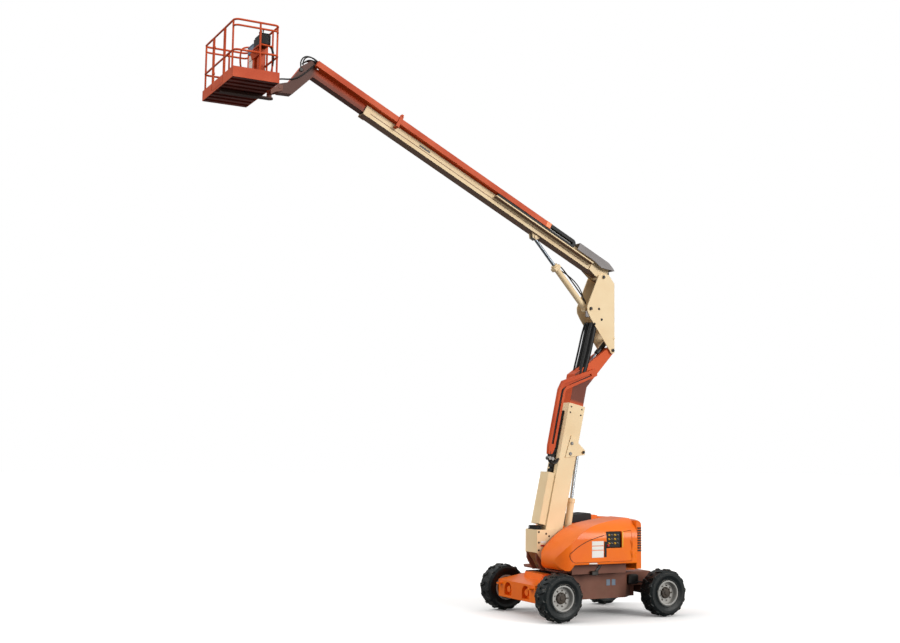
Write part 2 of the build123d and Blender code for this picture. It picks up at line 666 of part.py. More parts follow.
def hood(share, window):
    """A near-side hood's shell, and the door cut from it, with the hinge between them."""
    shell = hood_block(0, share) - hood_block(HOOD_WALL, share)
    front = drawn_back([(-930, 0)], share)[0][0]
    open_y = (-HOOD_OUTER + HOOD_WALL, -HOOD_INNER - HOOD_WALL)
    shell -= block((front, HOOD_REAR - HOOD_WALL), open_y, (900, 1130))
    door = shell & door_prism(DOOR_GAP, share)
    shell -= door_prism(0, share)
    if window:
        opening = block(CONTROL_X, (-1300, -900), CONTROL_Z)
        door -= opening
        shell -= opening
    for start in (1200, 1400):
        shell += hinge_knuckle(start, 30)
        door += hinge_knuckle(start + HINGE_LENGTH + FIT, -30)
    return shell, door


def height_on(line, x):
    """Height of a broken line at x."""
    for (x0, z0), (x1, z1) in zip(line, line[1:]):
        if x0 <= x <= x1:
            return z0 + (z1 - z0) * (x - x0) / (x1 - x0)


def hood_vent():
    """The dark louvred cover on top of the far hood: a low frame with cross slats and a cheek on the inner wall."""
    inner = HOOD_INNER - VENT_CHEEK
    crest = [(VENT_FRONT, 1490), (-520, 1690), (-380, 1840), (-230, 1915), (-60, 1950), (VENT_REAR - 40, 1985), (VENT_REAR, 1970)]
    foot = [(VENT_REAR, 1840), (0, 1790), (-230, 1750), (-380, 1670), (-520, 1520), (VENT_FRONT, 1330)]
    form = SIDE * plate(crest + foot, -VENT_OUTER, -inner)
    for slat in range(1, VENT_SLATS):
        x = VENT_FRONT + slat * (VENT_REAR - VENT_FRONT) / VENT_SLATS
        floor = height_on(crest, x) - 40
        form -= block((x - 14, x + 14), (HOOD_INNER + 40, VENT_OUTER - 30), (floor, 2100))
    return form - mirror(hood_block(-FIT, FAR_NOSE_SHARE), Plane.XZ)


def tail_weight():
    """The tail weight behind both hoods, notched in the middle for the lowered tower."""
    sweep_back = ThreePointArc((690, -TAIL_HALF), (TAIL_BULGE, 0), (690, TAIL_HALF))
    front = HOOD_REAR + GAP
    edge = Polyline((690, TAIL_HALF), (front, TAIL_HALF - 20), (front, 20 - TAIL_HALF), (690, -TAIL_HALF))
    tail = Pos(0, 0, TAIL_BOTTOM) * extrude(make_face([sweep_back, edge]), TAIL_TOP - TAIL_BOTTOM, dir=(0, 0, 1))
    tail = fillet(tail.edges().group_by(Axis.Z)[-1].filter_by(GeomType.CIRCLE), TAIL_ROUND)
    tail -= block((front - 10, TAIL_BULGE + 10), (-HOOD_INNER, HOOD_INNER), (TAIL_BOTTOM - 1, TAIL_TOP + 1))
    tail += block((DECK_REAR, 960), (-500, 500), (880, 945))
    return tail + block((front, 900), (-500, 500), (940, TAIL_BOTTOM + 5)) - block((0, 1100), (-HOOD_INNER, HOOD_INNER), (945, 990))


def ground_control():
    """The ground control panel behind the hood's window, on a post from the deck."""
    margin = 10
    panel = block(
        (CONTROL_X[0] + margin, CONTROL_X[1] - margin), (-1060, -840), (CONTROL_Z[0] + margin, CONTROL_Z[1] - margin)
    )
    return panel + block((-40, 60), (-DECK_HALF + 5, -840), (DECK_TOP, CONTROL_Z[0] + margin + 5))


hood_shell, hood_door = hood(1, True)
far_shell, far_door = hood(FAR_NOSE_SHARE, False)
save(turntable_frame(), "turntable_frame")
save(tower_mount(), "tower_mount")
save(hood_shell, "hood_right")
save(mirror(far_shell, Plane.XZ), "hood_left")
save(hood_door, "hood_door_right")
save(mirror(far_door, Plane.XZ), "hood_door_left")
save(hood_vent(), "hood_vent")
save(tail_weight(), "tail_weight")
save(ground_control(), "ground_control")
save(block((-480, 400), (390, 840), (DECK_TOP, 1480)), "engine")
save(block((-750, -250), (-800, -400), (DECK_TOP, 1500)), "tank")


# Tower: hollow base with lift brackets, telescoping section with a bent nose

def tower_base():
    """The tower's base section with its pivot bore and the lift cylinder's bracket plates."""
    half = TOWER_DEPTH / 2
    side = TOWER_WIDTH / 2
    base = box_tube((TOWER_FOOT, TOWER_TOP), (-half, half), side, TOWER_WALL)
    base += ring(0, TOWER_PIN_RADIUS + 30, -side, side)
    triangle = [(2228, 20), (1755, 60), (TOWER_LIFT_ALONG - 45, -TOWER_LIFT_BELOW - 50), (TOWER_LIFT_ALONG + 45, -TOWER_LIFT_BELOW - 45)]
    base += two_plates(triangle, side - 2, side + 20)
    for out in (side + 20, -side - 38):
        base += Pos(TOWER_LIFT_ALONG, -TOWER_LIFT_BELOW, 0) * ring(0, EYE_PIN_RADIUS, out, out + 18)
    bore = ring(0, TOWER_PIN_RADIUS + FIT, -side - 5, side + 5)
    return TOWER * (base - bore)


def tower_fly():
    """The telescoping section: tube on wear pads, then the nose that carries the upright."""
    half = TOWER_FLY_DEPTH / 2
    side = TOWER_FLY_WIDTH / 2
    bend = 3300
    fly = block((TOWER_FLY_REAR, bend), (-half, half), (-side, side))
    fly -= block((TOWER_FLY_REAR - 5, bend - 100), (15 - half, half - 15), (15 - side, side - 15))
    pivot = (UPRIGHT_ALONG, -UPRIGHT_BELOW)
    nose = [(bend - 20, -half), (pivot[0] - 25, pivot[1] - 68), (pivot[0] + 62, pivot[1] + 45), (pivot[0] - 4, pivot[1] + 120), (3480, half), (bend - 20, half)]
    fly += plate(nose, -side, side)
    level_pin = TOWER.to_local_coords(LEVEL_FLY_PIN)
    slot = block((-62, 638), (-70, 330), (-LEVEL_SLOT_HALF, LEVEL_SLOT_HALF))
    fly -= Pos(level_pin.X, level_pin.Y) * Rot(Z=LEVEL_SLOT_TURN) * slot
    pad_half = TOWER_DEPTH / 2 - TOWER_WALL - FIT
    pad_side = TOWER_WIDTH / 2 - TOWER_WALL - FIT
    pad = (TOWER_FLY_REAR, TOWER_FLY_REAR + 120)
    fly += block(pad, (-pad_half, pad_half), (-60, 60)) - block(pad, (20 - half, half - 20), (-70, 70))
    fly += block(pad, (-60, 60), (-pad_side, pad_side)) - block(pad, (-70, 70), (20 - side, side - 20))
    fly -= Pos(pivot[0], pivot[1], 0) * ring(0, UPRIGHT_PIN_RADIUS + FIT, -side - 5, side + 5)
    return TOWER * fly


def hose_channel():
    """The bent channel that leads the hoses up beside the tower, on a boss at the nose's side."""
    inner = TOWER_FLY_WIDTH / 2
    arm = [(1722, 500), (1760, 415), (1900, 378), (3040, 378), (3100, 350), (3560, -310), (3690, -230), (3250, 480), (3067, 533), (1900, 528)]
    channel = plate(arm, inner + 20, inner + 105, 25)
    groove = [(1950, 430), (3050, 430), (3160, 380), (3520, -180), (3560, -150), (3200, 430), (3080, 480), (1950, 478)]
    channel -= plate(groove, inner + 70, inner + 120)
    return TOWER * (channel + Pos(3600, -190, 0) * ring(0, 40, inner, inner + 25))


def tower_hose_cover():
    """The cover over the hoses on the tower's front, with a hose chain above it."""
    front = TOWER_DEPTH / 2
    cover = block((350, 1400), (front, front + 160), (-150, 150))
    return TOWER * (cover - block((360, 1390), (front - 5, front + 150), (-140, 140)))


def tower_hose_chain():
    """The hose chain on the tower's front, a row of links between two side bands."""
    front = TOWER_DEPTH / 2
    chain = block((1400, 2700), (front, front + 30), (-60, 60))
    for link in range(1420, 2640, 100):
        chain += block((link, link + 70), (front + 25, front + 65), (-60, 60))
    return TOWER * chain


save(tower_base(), "tower_base")
save(tower_fly(), "tower_fly")
save(hose_channel(), "hose_channel")
save(tower_hose_cover(), "tower_hose_cover")
save(tower_hose_chain(), "tower_hose_chain")
save(
    cylinder_barrel(
        TOWER_LIFT_FOOT, TOWER_LIFT_TOP, TOWER_BARREL_RADIUS, TOWER_BARREL_LENGTH, TOWER_ROD_RADIUS, EYE_PIN_RADIUS, 65
    ),
    "tower_lift_barrel",
)
save(
    cylinder_rod(TOWER_LIFT_FOOT, TOWER_LIFT_TOP, TOWER_ROD_START, TOWER_ROD_RADIUS, 55, 45, EYE_PIN_RADIUS),
    "tower_lift_rod",
)


# Upright: two plates that stay upright between tower and main boom

def upright():
    """Two plates with a back web and the pins of tower, main boom and level cylinder."""
    foot = UPRIGHT_PIVOT
    outline = [
        (foot.X - 30, foot.Z - 70),
        (foot.X + 45, foot.Z - 60),
        (foot.X + 45, BOOM_Z - 120),
        (BOOM_X + 130, BOOM_Z + 60),
        (BOOM_X - 110, BOOM_Z + 45),
        (BOOM_LIFT_X - 85, BOOM_LIFT_Z + 45),
        (BOOM_LIFT_X - 75, BOOM_LIFT_Z - 70),
        (BOOM_LIFT_X + 0, BOOM_LIFT_Z - 200),
    ]
    body = SIDE * two_plates(outline, UPRIGHT_INNER, UPRIGHT_OUTER, 30)
    web_x = foot.X + 45
    body += block((web_x - 25, web_x - 5), (-UPRIGHT_INNER - 2, UPRIGHT_INNER + 2), (foot.Z + 420, BOOM_Z - 260))
    body += cross_pin(UPRIGHT_PIVOT, UPRIGHT_OUTER + 12, UPRIGHT_PIN_RADIUS)
    body += cross_pin((BOOM_X, 0, BOOM_Z), UPRIGHT_OUTER + 12, BOOM_PIN_RADIUS)
    body += cross_pin(LEVEL_UPRIGHT_PIN, UPRIGHT_OUTER + 8, LEVEL_PIN_RADIUS)
    for side in (NEAR, FAR):
        out = Vector(0, side * (UPRIGHT_OUTER + 12), 0)
        seat = Vector(0, side * (UPRIGHT_OUTER - 2), 0)
        body += bar(BOOM_LIFT_FOOT + seat, BOOM_LIFT_FOOT + out, EYE_PIN_RADIUS)
    return body


save(upright(), "upright")
save(
    cylinder_barrel(
        LEVEL_UPRIGHT_PIN, LEVEL_FLY_PIN, LEVEL_BARREL_RADIUS, LEVEL_BARREL_LENGTH, LEVEL_ROD_RADIUS, LEVEL_PIN_RADIUS, 40
    ),
    "level_barrel",
)
save(
    cylinder_rod(LEVEL_UPRIGHT_PIN, LEVEL_FLY_PIN, LEVEL_ROD_START, LEVEL_ROD_RADIUS, 34, 30, LEVEL_PIN_RADIUS),
    "level_rod",
)


# Main boom: hollow base with tray, hose chain and rear cover; telescoping section with gooseneck and push tube

def boom_base():
    """The main boom's base section with its pivot ears and the lift cylinder's lugs."""
    side = BOOM_WIDTH / 2
    base = box_tube((BOOM_REAR, BOOM_TIP), (BOOM_UNDER, BOOM_TOP), side, BOOM_WALL)
    ear = [(BOOM_REAR, -60), (160, -60), (360, BOOM_UNDER + 10), (360, BOOM_RISE), (BOOM_REAR, BOOM_RISE)]
    base += two_plates(ear, side - 2, side + BOOM_EAR)
    base += ring(0, BOOM_PIN_RADIUS + 25, -side, side)
    lug = [
        (BOOM_LIFT_ALONG - 110, BOOM_UNDER + 4),
        (BOOM_LIFT_ALONG + 110, BOOM_UNDER + 4),
        (BOOM_LIFT_ALONG + 45, BOOM_LIFT_RISE - 48),
        (BOOM_LIFT_ALONG - 45, BOOM_LIFT_RISE - 48),
    ]
    base += two_plates(lug, 48, 72)
    base += Pos(BOOM_LIFT_ALONG, BOOM_LIFT_RISE, 0) * ring(0, EYE_PIN_RADIUS, -90, 90)
    return BOOM * (base - ring(0, BOOM_PIN_RADIUS + FIT, -side - BOOM_EAR - 5, side + BOOM_EAR + 5))


def boom_tray():
    """The ledge on the boom's near side that carries the hose chain."""
    side = -BOOM_WIDTH / 2
    tray = block((TRAY_REAR, TRAY_FRONT), (TRAY_RISE, TRAY_RISE + 10), (-TRAY_OUT, side))
    return BOOM * (tray + block((TRAY_REAR, TRAY_FRONT), (TRAY_RISE, TRAY_RISE + TRAY_LIP), (-TRAY_OUT, 7 - TRAY_OUT)))


CHAIN_LOW = TRAY_RISE + 10
CHAIN_HIGH = PUSH_TUBE_TOP - CHAIN_DEPTH
CHAIN_NEAR = -TRAY_OUT + 12


def boom_hose_chain():
    """The hose chain: a run on the tray, a half turn, and a run back to the push tube."""
    width = (CHAIN_NEAR, CHAIN_NEAR + CHAIN_WIDTH)
    turn_radius = (CHAIN_HIGH - CHAIN_LOW) / 2
    centre = (CHAIN_LOW + CHAIN_HIGH + CHAIN_DEPTH) / 2
    chain = block((CHAIN_LOOP_ALONG, TRAY_FRONT - 30), (CHAIN_LOW, CHAIN_LOW + CHAIN_DEPTH), width)
    chain += block((CHAIN_LOOP_ALONG, PUSH_TUBE_REAR - 1), (CHAIN_HIGH, CHAIN_HIGH + CHAIN_DEPTH), width)
    turn = ring(turn_radius - CHAIN_DEPTH / 2, turn_radius + CHAIN_DEPTH / 2, *width)
    turn -= block((0, 500), (-500, 500), (-500, 500))
    chain += Pos(CHAIN_LOOP_ALONG, centre, 0) * turn
    count = int((TRAY_FRONT - CHAIN_LOOP_ALONG) / CHAIN_PITCH)
    for link in range(1, count):
        slit = (CHAIN_LOOP_ALONG + link * CHAIN_PITCH, CHAIN_LOOP_ALONG + link * CHAIN_PITCH + CHAIN_SLIT)
        chain -= block(slit, (CHAIN_LOW + CHAIN_DEPTH - 18, CHAIN_LOW + CHAIN_DEPTH + 1), width)
        if slit[1] < PUSH_TUBE_REAR - CHAIN_SLIT:
            chain -= block(slit, (CHAIN_HIGH + CHAIN_DEPTH - 18, CHAIN_HIGH + CHAIN_DEPTH + 1), width)
    return BOOM * chain


COVER_TOP = PUSH_TUBE_TOP + GAP + COVER_WALL
COVER_FRONT = 840


def boom_rear_cover():
    """The open-fronted cover at the boom's rear that the hose chain runs into."""
    side = BOOM_WIDTH / 2
    rear = BOOM_REAR - 60
    slope = [(rear, BOOM_TOP), (rear + 50, BOOM_TOP + 30), (rear + 200, COVER_TOP)]
    outline = slope + [(COVER_FRONT, COVER_TOP), (COVER_FRONT, BOOM_TOP)]
    wall_foot = TRAY_RISE + 60
    near_wall = outline[:4] + [(COVER_FRONT, wall_foot), (TRAY_REAR, wall_foot), (150, BOOM_RISE + 20)]
    room = [(rear + 20, BOOM_TOP - 1), (rear + 58, BOOM_TOP + 25), (rear + 203, COVER_TOP - COVER_WALL)]
    room += [(COVER_FRONT + 10, COVER_TOP - COVER_WALL), (COVER_FRONT + 10, BOOM_TOP - 1)]
    cover = plate(outline, -TRAY_OUT - COVER_WALL, side) - plate(room, -TRAY_OUT - 1, side - COVER_WALL)
    return BOOM * (cover + plate(near_wall, -TRAY_OUT - COVER_WALL, -TRAY_OUT))


def boom_fly():
    """The telescoping section on its wear pads, with the fixed gooseneck at its end."""
    half = FLY_DEPTH / 2
    side = FLY_WIDTH / 2
    low = BOOM_RISE - half
    high = BOOM_RISE + half
    fly = block((FLY_REAR, FLY_FRONT), (low, high), (-side, side))
    fly -= block((FLY_REAR - 5, FLY_FRONT - 100), (low + FLY_WALL, high - FLY_WALL), (FLY_WALL - side, side - FLY_WALL))
    neck = [
        (FLY_FRONT - 10, low),
        (NOSE_ALONG - 263, NOSE_RISE + 32),
        (NOSE_ALONG - 36, NOSE_RISE - 90),
        (NOSE_ALONG + 55, NOSE_RISE - 55),
        (NOSE_ALONG + 45, NOSE_RISE + 60),
        (NOSE_ALONG - 102, NOSE_RISE + 197),
        (NOSE_ALONG - 173, NOSE_RISE + 635),
        (NOSE_ALONG - 279, high + 85),
        (FLY_FRONT + 20, high + 48),
        (FLY_FRONT - 10, high),
    ]
    fly += plate(neck, -side, side)
    tube_side = CHAIN_NEAR + CHAIN_WIDTH
    fly += block((FLY_FRONT, FLY_FRONT + 60), (PUSH_TUBE_UNDER + 10, high + 40), (tube_side, 10 - side))
    pad_low = BOOM_UNDER + BOOM_WALL + FIT
    pad_high = BOOM_TOP - BOOM_WALL - FIT
    pad_side = BOOM_WIDTH / 2 - BOOM_WALL - FIT
    pad = (FLY_REAR, FLY_REAR + 120)
    fly += block(pad, (pad_low, pad_high), (-50, 50)) - block(pad, (low + 10, high - 10), (-60, 60))
    fly += block(pad, (BOOM_RISE - 40, BOOM_RISE + 40), (-pad_side, pad_side)) - block(pad, (BOOM_RISE - 50, BOOM_RISE + 50), (10 - side, side - 10))
    return BOOM * (fly - Pos(NOSE_ALONG, NOSE_RISE, 0) * ring(0, NOSE_PIN_RADIUS + FIT, -side - 5, side + 5))


def push_tube():
    """The channel over the boom that draws the hose chain along, on the telescoping section's bracket."""
    height = (PUSH_TUBE_UNDER, PUSH_TUBE_TOP)
    inner = (height[0] + COVER_WALL, height[1] - COVER_WALL)
    tube_body = block((PUSH_TUBE_REAR, FLY_FRONT + 60), height, (CHAIN_NEAR, CHAIN_NEAR + CHAIN_WIDTH))
    hollow = (CHAIN_NEAR + COVER_WALL, CHAIN_NEAR + CHAIN_WIDTH - COVER_WALL)
    return BOOM * (tube_body - block((PUSH_TUBE_REAR - 5, FLY_FRONT + 40), inner, hollow))


save(boom_base(), "boom_base")
save(boom_tray(), "boom_tray")
save(boom_hose_chain(), "boom_hose_chain")
save(boom_rear_cover(), "boom_rear_cover")
save(boom_fly(), "boom_fly")
save(push_tube(), "push_tube")
save(
    cylinder_barrel(
        BOOM_LIFT_FOOT, BOOM_LIFT_TOP, BOOM_BARREL_RADIUS, BOOM_BARREL_LENGTH, BOOM_ROD_RADIUS, EYE_PIN_RADIUS, 60
    ),
    "boom_lift_barrel",
)
save(
    cylinder_rod(BOOM_LIFT_FOOT, BOOM_LIFT_TOP, BOOM_ROD_START, BOOM_ROD_RADIUS, 42, 42, EYE_PIN_RADIUS),
    "boom_lift_rod",
)


# Platform: level support with rotator, then floor, rails, gate and console

PLATFORM_FRONT = PLATFORM_X - PLATFORM_DEPTH / 2
PLATFORM_BACK = PLATFORM_X + PLATFORM_DEPTH / 2
PLATFORM_HALF = PLATFORM_LENGTH / 2


def platform_support():
    """The level support: two ears on the gooseneck's pin and the rotator's upright housing."""
    inner = FLY_WIDTH / 2 + 4
    pin = NOSE_PIN
    ear = [
        (pin.X + 55, pin.Z - 55),
        (pin.X + 55, pin.Z + 45),
        (pin.X - 40, pin.Z + 60),
        (pin.X - ROTATOR_REACH / 2, ROTATOR_TOP - 8),
        (ROTATOR_X, ROTATOR_TOP - 8),
        (ROTATOR_X, ROTATOR_TOP - 150),
        (pin.X - ROTATOR_REACH / 2, pin.Z - 100),
    ]
    body = SIDE * two_plates(ear, inner, inner + SUPPORT_EAR)
    body += block((ROTATOR_X - 12, ROTATOR_X + 18), (-inner - SUPPORT_EAR, inner + SUPPORT_EAR), (ROTATOR_TOP - 150, ROTATOR_TOP - 20))
    body += Pos(ROTATOR_X, 0, 0) * ring(0, ROTATOR_RADIUS, ROTATOR_BOTTOM, ROTATOR_TOP)
    body += Pos(ROTATOR_X, 0, 0) * ring(0, 25, ROTATOR_BOTTOM - 36, ROTATOR_TOP + 36)
    return body + cross_pin(pin, inner + SUPPORT_EAR + 4, NOSE_PIN_RADIUS)


def platform_bracket():
    """The bracket that turns on the rotator and runs under the floor."""
    reach = PLATFORM_FRONT + 60
    low = (ROTATOR_BOTTOM - 30 - FIT, ROTATOR_BOTTOM - FIT)
    arm = block((reach, ROTATOR_X), (-70, 70), (PLATFORM_Z - 48, PLATFORM_Z))
    arm -= block((PLATFORM_BACK - 30, ROTATOR_X + 10), (-80, 80), (low[1], PLATFORM_Z + 10))
    arm += Pos(ROTATOR_X, 0, 0) * ring(0, 70, *low)
    high = (ROTATOR_TOP + FIT, ROTATOR_TOP + 30)
    arm += block((PLATFORM_BACK, ROTATOR_X), (-60, 60), high) + Pos(ROTATOR_X, 0, 0) * ring(0, 60, *high)
    return arm - Pos(ROTATOR_X, 0, 0) * ring(0, 25 + FIT, low[0] - 5, high[1] + 5)


def platform_floor():
    """The floor panel on its cross slats."""
    edge = KICK_PLATE
    x = (PLATFORM_FRONT + edge, PLATFORM_BACK - edge)
    y = (edge - PLATFORM_HALF, PLATFORM_HALF - edge)
    floor = block(x, y, (PLATFORM_Z + SLAT_DEPTH, PLATFORM_Z + SLAT_DEPTH + FLOOR_THICKNESS))
    pitch = (PLATFORM_LENGTH - 2 * edge - SLAT_WIDTH) / (SLAT_COUNT - 1)
    for slat in range(SLAT_COUNT):
        start = y[0] + slat * pitch
        floor += block(x, (start, start + SLAT_WIDTH), (PLATFORM_Z, PLATFORM_Z + SLAT_DEPTH + 2))
    return floor


RAIL_TOP = PLATFORM_Z + RAIL_HEIGHT - RAIL_RADIUS
RAIL_SECOND = RAIL_TOP - SECOND_RAIL_DROP
RAIL_MID = PLATFORM_Z + MID_RAIL_HEIGHT
POST_FOOT = PLATFORM_Z + KICK_HEIGHT - 60
RAIL_FRONT = PLATFORM_FRONT + RAIL_RADIUS
RAIL_BACK = PLATFORM_BACK - RAIL_RADIUS
RAIL_SIDE = PLATFORM_HALF - RAIL_RADIUS
RAIL_BEND = 90


def guard_rails():
    """The kick plates, posts and rails, open at the gate on the long side away from the boom."""
    outer = block((PLATFORM_FRONT, PLATFORM_BACK), (-PLATFORM_HALF, PLATFORM_HALF), (PLATFORM_Z, PLATFORM_Z + KICK_HEIGHT))
    plates = outer - block(
        (PLATFORM_FRONT + KICK_PLATE, PLATFORM_BACK - KICK_PLATE),
        (KICK_PLATE - PLATFORM_HALF, PLATFORM_HALF - KICK_PLATE),
        (PLATFORM_Z - 5, PLATFORM_Z + KICK_HEIGHT + 5),
    )
    rails = plates - block(
        (PLATFORM_FRONT - 5, PLATFORM_FRONT + KICK_PLATE + 5),
        (-GATE_HALF, GATE_HALF),
        (PLATFORM_Z + SLAT_DEPTH + FLOOR_THICKNESS, PLATFORM_Z + KICK_HEIGHT + 5),
    )
    gate_post = GATE_HALF + RAIL_RADIUS
    for level in (RAIL_TOP, RAIL_MID):
        rails += tube(
            [
                (RAIL_FRONT, -gate_post, level),
                (RAIL_FRONT, -RAIL_SIDE, level),
                (RAIL_BACK, -RAIL_SIDE, level),
                (RAIL_BACK, RAIL_SIDE, level),
                (RAIL_FRONT, RAIL_SIDE, level),
                (RAIL_FRONT, gate_post, level),
            ],
            RAIL_RADIUS,
            RAIL_BEND,
        )
    posts = [(RAIL_FRONT, side * gate_post) for side in (NEAR, FAR)]
    posts += [(RAIL_FRONT, side * (RAIL_SIDE - RAIL_BEND)) for side in (NEAR, FAR)]
    posts += [(RAIL_BACK, side * (RAIL_SIDE - RAIL_BEND)) for side in (NEAR, FAR)]
    posts += [(RAIL_BACK - 350, side * RAIL_SIDE) for side in (NEAR, FAR)]
    posts += [(RAIL_BACK, side * 260) for side in (NEAR, FAR)]
    for x, y in posts:
        rails += bar((x, y, POST_FOOT), (x, y, RAIL_TOP), RAIL_RADIUS - 1)
    for side in (NEAR, FAR):
        y = side * RAIL_SIDE
        rails += bar((RAIL_FRONT + RAIL_BEND, y, RAIL_SECOND), (RAIL_BACK - RAIL_BEND, y, RAIL_SECOND), RAIL_RADIUS - 1)
    hinge_y = GATE_HALF - GAP - RAIL_RADIUS
    for level in (RAIL_MID - 150, RAIL_TOP - 200):
        collar = ring(0, RAIL_RADIUS + 8, 0, 40) + block((-8, 8), (0, gate_post - hinge_y), (0, 40))
        collar -= ring(0, RAIL_RADIUS - 1 + FIT, -5, 45)
        rails += Pos(RAIL_FRONT, hinge_y, level) * collar
    return rails


def gate():
    """The gate: two posts, top and middle rail and its own kick plate."""
    half = GATE_HALF - GAP - RAIL_RADIUS
    low = PLATFORM_Z + SLAT_DEPTH + FLOOR_THICKNESS + GAP
    body = block((PLATFORM_FRONT, PLATFORM_FRONT + KICK_PLATE + 4), (-half, half), (low, PLATFORM_Z + KICK_HEIGHT))
    for side in (NEAR, FAR):
        body += bar((RAIL_FRONT, side * half, low + 20), (RAIL_FRONT, side * half, RAIL_TOP), RAIL_RADIUS - 1)
    for level in (RAIL_TOP, RAIL_MID):
        body += bar((RAIL_FRONT, -half, level), (RAIL_FRONT, half, level), RAIL_RADIUS - 1)
    return body


def console():
    """The operator's console: post, sloped control box and document box on the boom side."""
    back = RAIL_BACK - RAIL_RADIUS - 2
    floor = PLATFORM_Z + SLAT_DEPTH + FLOOR_THICKNESS
    desk = [(back - 185, RAIL_TOP - 270), (back, RAIL_TOP - 130), (back, RAIL_TOP - 330), (back - 150, RAIL_TOP - 380)]
    body = SIDE * plate(desk, -90, 330)
    body += block((back - 120, back), (-240, -120), (floor, RAIL_TOP - 330))
    return body + block((back - 140, back), (-30, 80), (RAIL_MID - 150, RAIL_TOP - 330))


save(platform_support(), "platform_support")
save(platform_bracket(), "platform_bracket")
save(platform_floor(), "platform_floor")
save(guard_rails(), "guard_rails")
save(gate(), "platform_gate")
save(console(), "platform_console")
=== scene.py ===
# %% [markdown]
# # Articulating boom lift
# The machine's solids come ready made and placed. This lesson gives them paint, rubber and steel, adds the hoses,
# bolts and controls that a solid model leaves out, and sets a camera at the photograph's place.

# %% Load the solids
import json
import math

import bmesh
import bpy
import numpy as np
from mathutils import Matrix, Vector


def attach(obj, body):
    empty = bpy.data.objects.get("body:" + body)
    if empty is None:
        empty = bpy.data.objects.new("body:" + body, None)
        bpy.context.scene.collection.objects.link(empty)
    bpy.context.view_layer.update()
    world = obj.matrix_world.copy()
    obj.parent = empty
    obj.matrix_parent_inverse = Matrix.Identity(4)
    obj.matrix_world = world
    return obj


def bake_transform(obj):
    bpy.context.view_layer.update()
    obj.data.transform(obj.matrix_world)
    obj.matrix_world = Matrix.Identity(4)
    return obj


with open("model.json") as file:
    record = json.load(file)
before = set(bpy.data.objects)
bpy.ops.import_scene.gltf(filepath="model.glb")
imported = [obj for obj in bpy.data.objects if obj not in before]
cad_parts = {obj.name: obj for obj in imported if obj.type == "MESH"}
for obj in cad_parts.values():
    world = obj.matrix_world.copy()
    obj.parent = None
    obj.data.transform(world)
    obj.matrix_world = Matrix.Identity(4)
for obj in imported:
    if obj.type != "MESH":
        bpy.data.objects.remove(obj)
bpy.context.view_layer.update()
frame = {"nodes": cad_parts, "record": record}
nodes = frame["nodes"]

# %% [markdown]
# ## Camera
# The camera stands where the photograph was taken: low, about 25 m off the front corner. Its focal length is given in
# pixels of a 900 pixel wide picture, so the lens in millimetres follows from a 36 mm wide sensor. The three axes of the
# camera are built from yaw, pitch and roll, which is easier to read than a quaternion.

# %% Camera
PICTURE_WIDTH = 900
FOCAL_PIXELS = 1232.843
SENSOR_WIDTH = 36.0
FAR_END = 200.0
CAMERA_PLACE = Vector((-14.3394, -21.2566, 3.2941))
CAMERA_YAW = math.radians(27.8539)
CAMERA_PITCH = math.radians(5.8564)
CAMERA_ROLL = math.radians(0.7124)


def placed(name, data):
    """A new object in the scene that shows this data."""
    made = bpy.data.objects.new(name, data)
    bpy.context.scene.collection.objects.link(made)
    return made


forward = Vector((
    math.sin(CAMERA_YAW) * math.cos(CAMERA_PITCH),
    math.cos(CAMERA_YAW) * math.cos(CAMERA_PITCH),
    math.sin(CAMERA_PITCH),
))
level = Vector((math.cos(CAMERA_YAW), -math.sin(CAMERA_YAW), 0))
above = level.cross(forward)
right = level * math.cos(CAMERA_ROLL) + above * math.sin(CAMERA_ROLL)
up = above * math.cos(CAMERA_ROLL) - level * math.sin(CAMERA_ROLL)

lens = bpy.data.cameras.new("photo_camera")
lens.sensor_fit = "HORIZONTAL"
lens.sensor_width = SENSOR_WIDTH
lens.lens = FOCAL_PIXELS * SENSOR_WIDTH / PICTURE_WIDTH
lens.clip_end = FAR_END
camera = placed("photo_camera", lens)
camera.matrix_world = Matrix.Translation(CAMERA_PLACE) @ Matrix((right, up, -forward)).transposed().to_4x4()
bpy.context.scene.camera = camera
print("lens", round(lens.lens, 2), "mm")

# %% [markdown]
# ## Shapes from arrays
# Every added piece is a surface worked out as whole arrays. A shape is a pair: points, and faces as rows of point
# numbers. Hoses and bent straps could be curve objects with a bevel; a profile carried along a path gives the same
# tubes as plain meshes, and leaves every size in sight.

# %% Rings and paths
def join(*shapes):
    """Shapes as one: points stacked, and each shape's point numbers raised by the points before it."""
    counts = np.cumsum([0] + [len(points) for points, faces in shapes])
    points = np.concatenate([points for points, faces in shapes])
    faces = [[[n + start for n in face] for face in faces] for start, (_, faces) in zip(counts, shapes)]
    return points, [face for group in faces for face in group]


def skin(rows, capped=True):
    """Rows of closed rings joined to a surface: quads between row i and row i + 1, and a flat cap on each end."""
    count, sides = rows.shape[:2]
    ring, side = np.meshgrid(np.arange(count - 1), np.arange(sides), indexing="ij")
    after = (side + 1) % sides
    here, there = ring * sides, (ring + 1) * sides
    quads = np.stack([here + side, here + after, there + after, there + side], -1)
    faces = quads.reshape(-1, 4).tolist()
    if capped:
        faces.append(list(range(sides - 1, -1, -1)))
        faces.append(list(range((count - 1) * sides, count * sides)))
    return rows.reshape(-1, 3), faces


def smooth_path(points, steps=12):
    """A soft line past a few points: each stretch is a quadratic B-spline, the mean of mids weighted by t squared."""
    control = np.array(points, float)
    control = np.concatenate([control[:1], control, control[-1:]])
    t = np.linspace(0, 1, steps, endpoint=False)[None, :, None]
    a, b, c = control[:-2, None], control[1:-1, None], control[2:, None]
    path = (1 - t) ** 2 / 2 * a + (0.5 + t - t * t) * b + t * t / 2 * c
    return np.concatenate([path.reshape(-1, 3), control[-1:]])


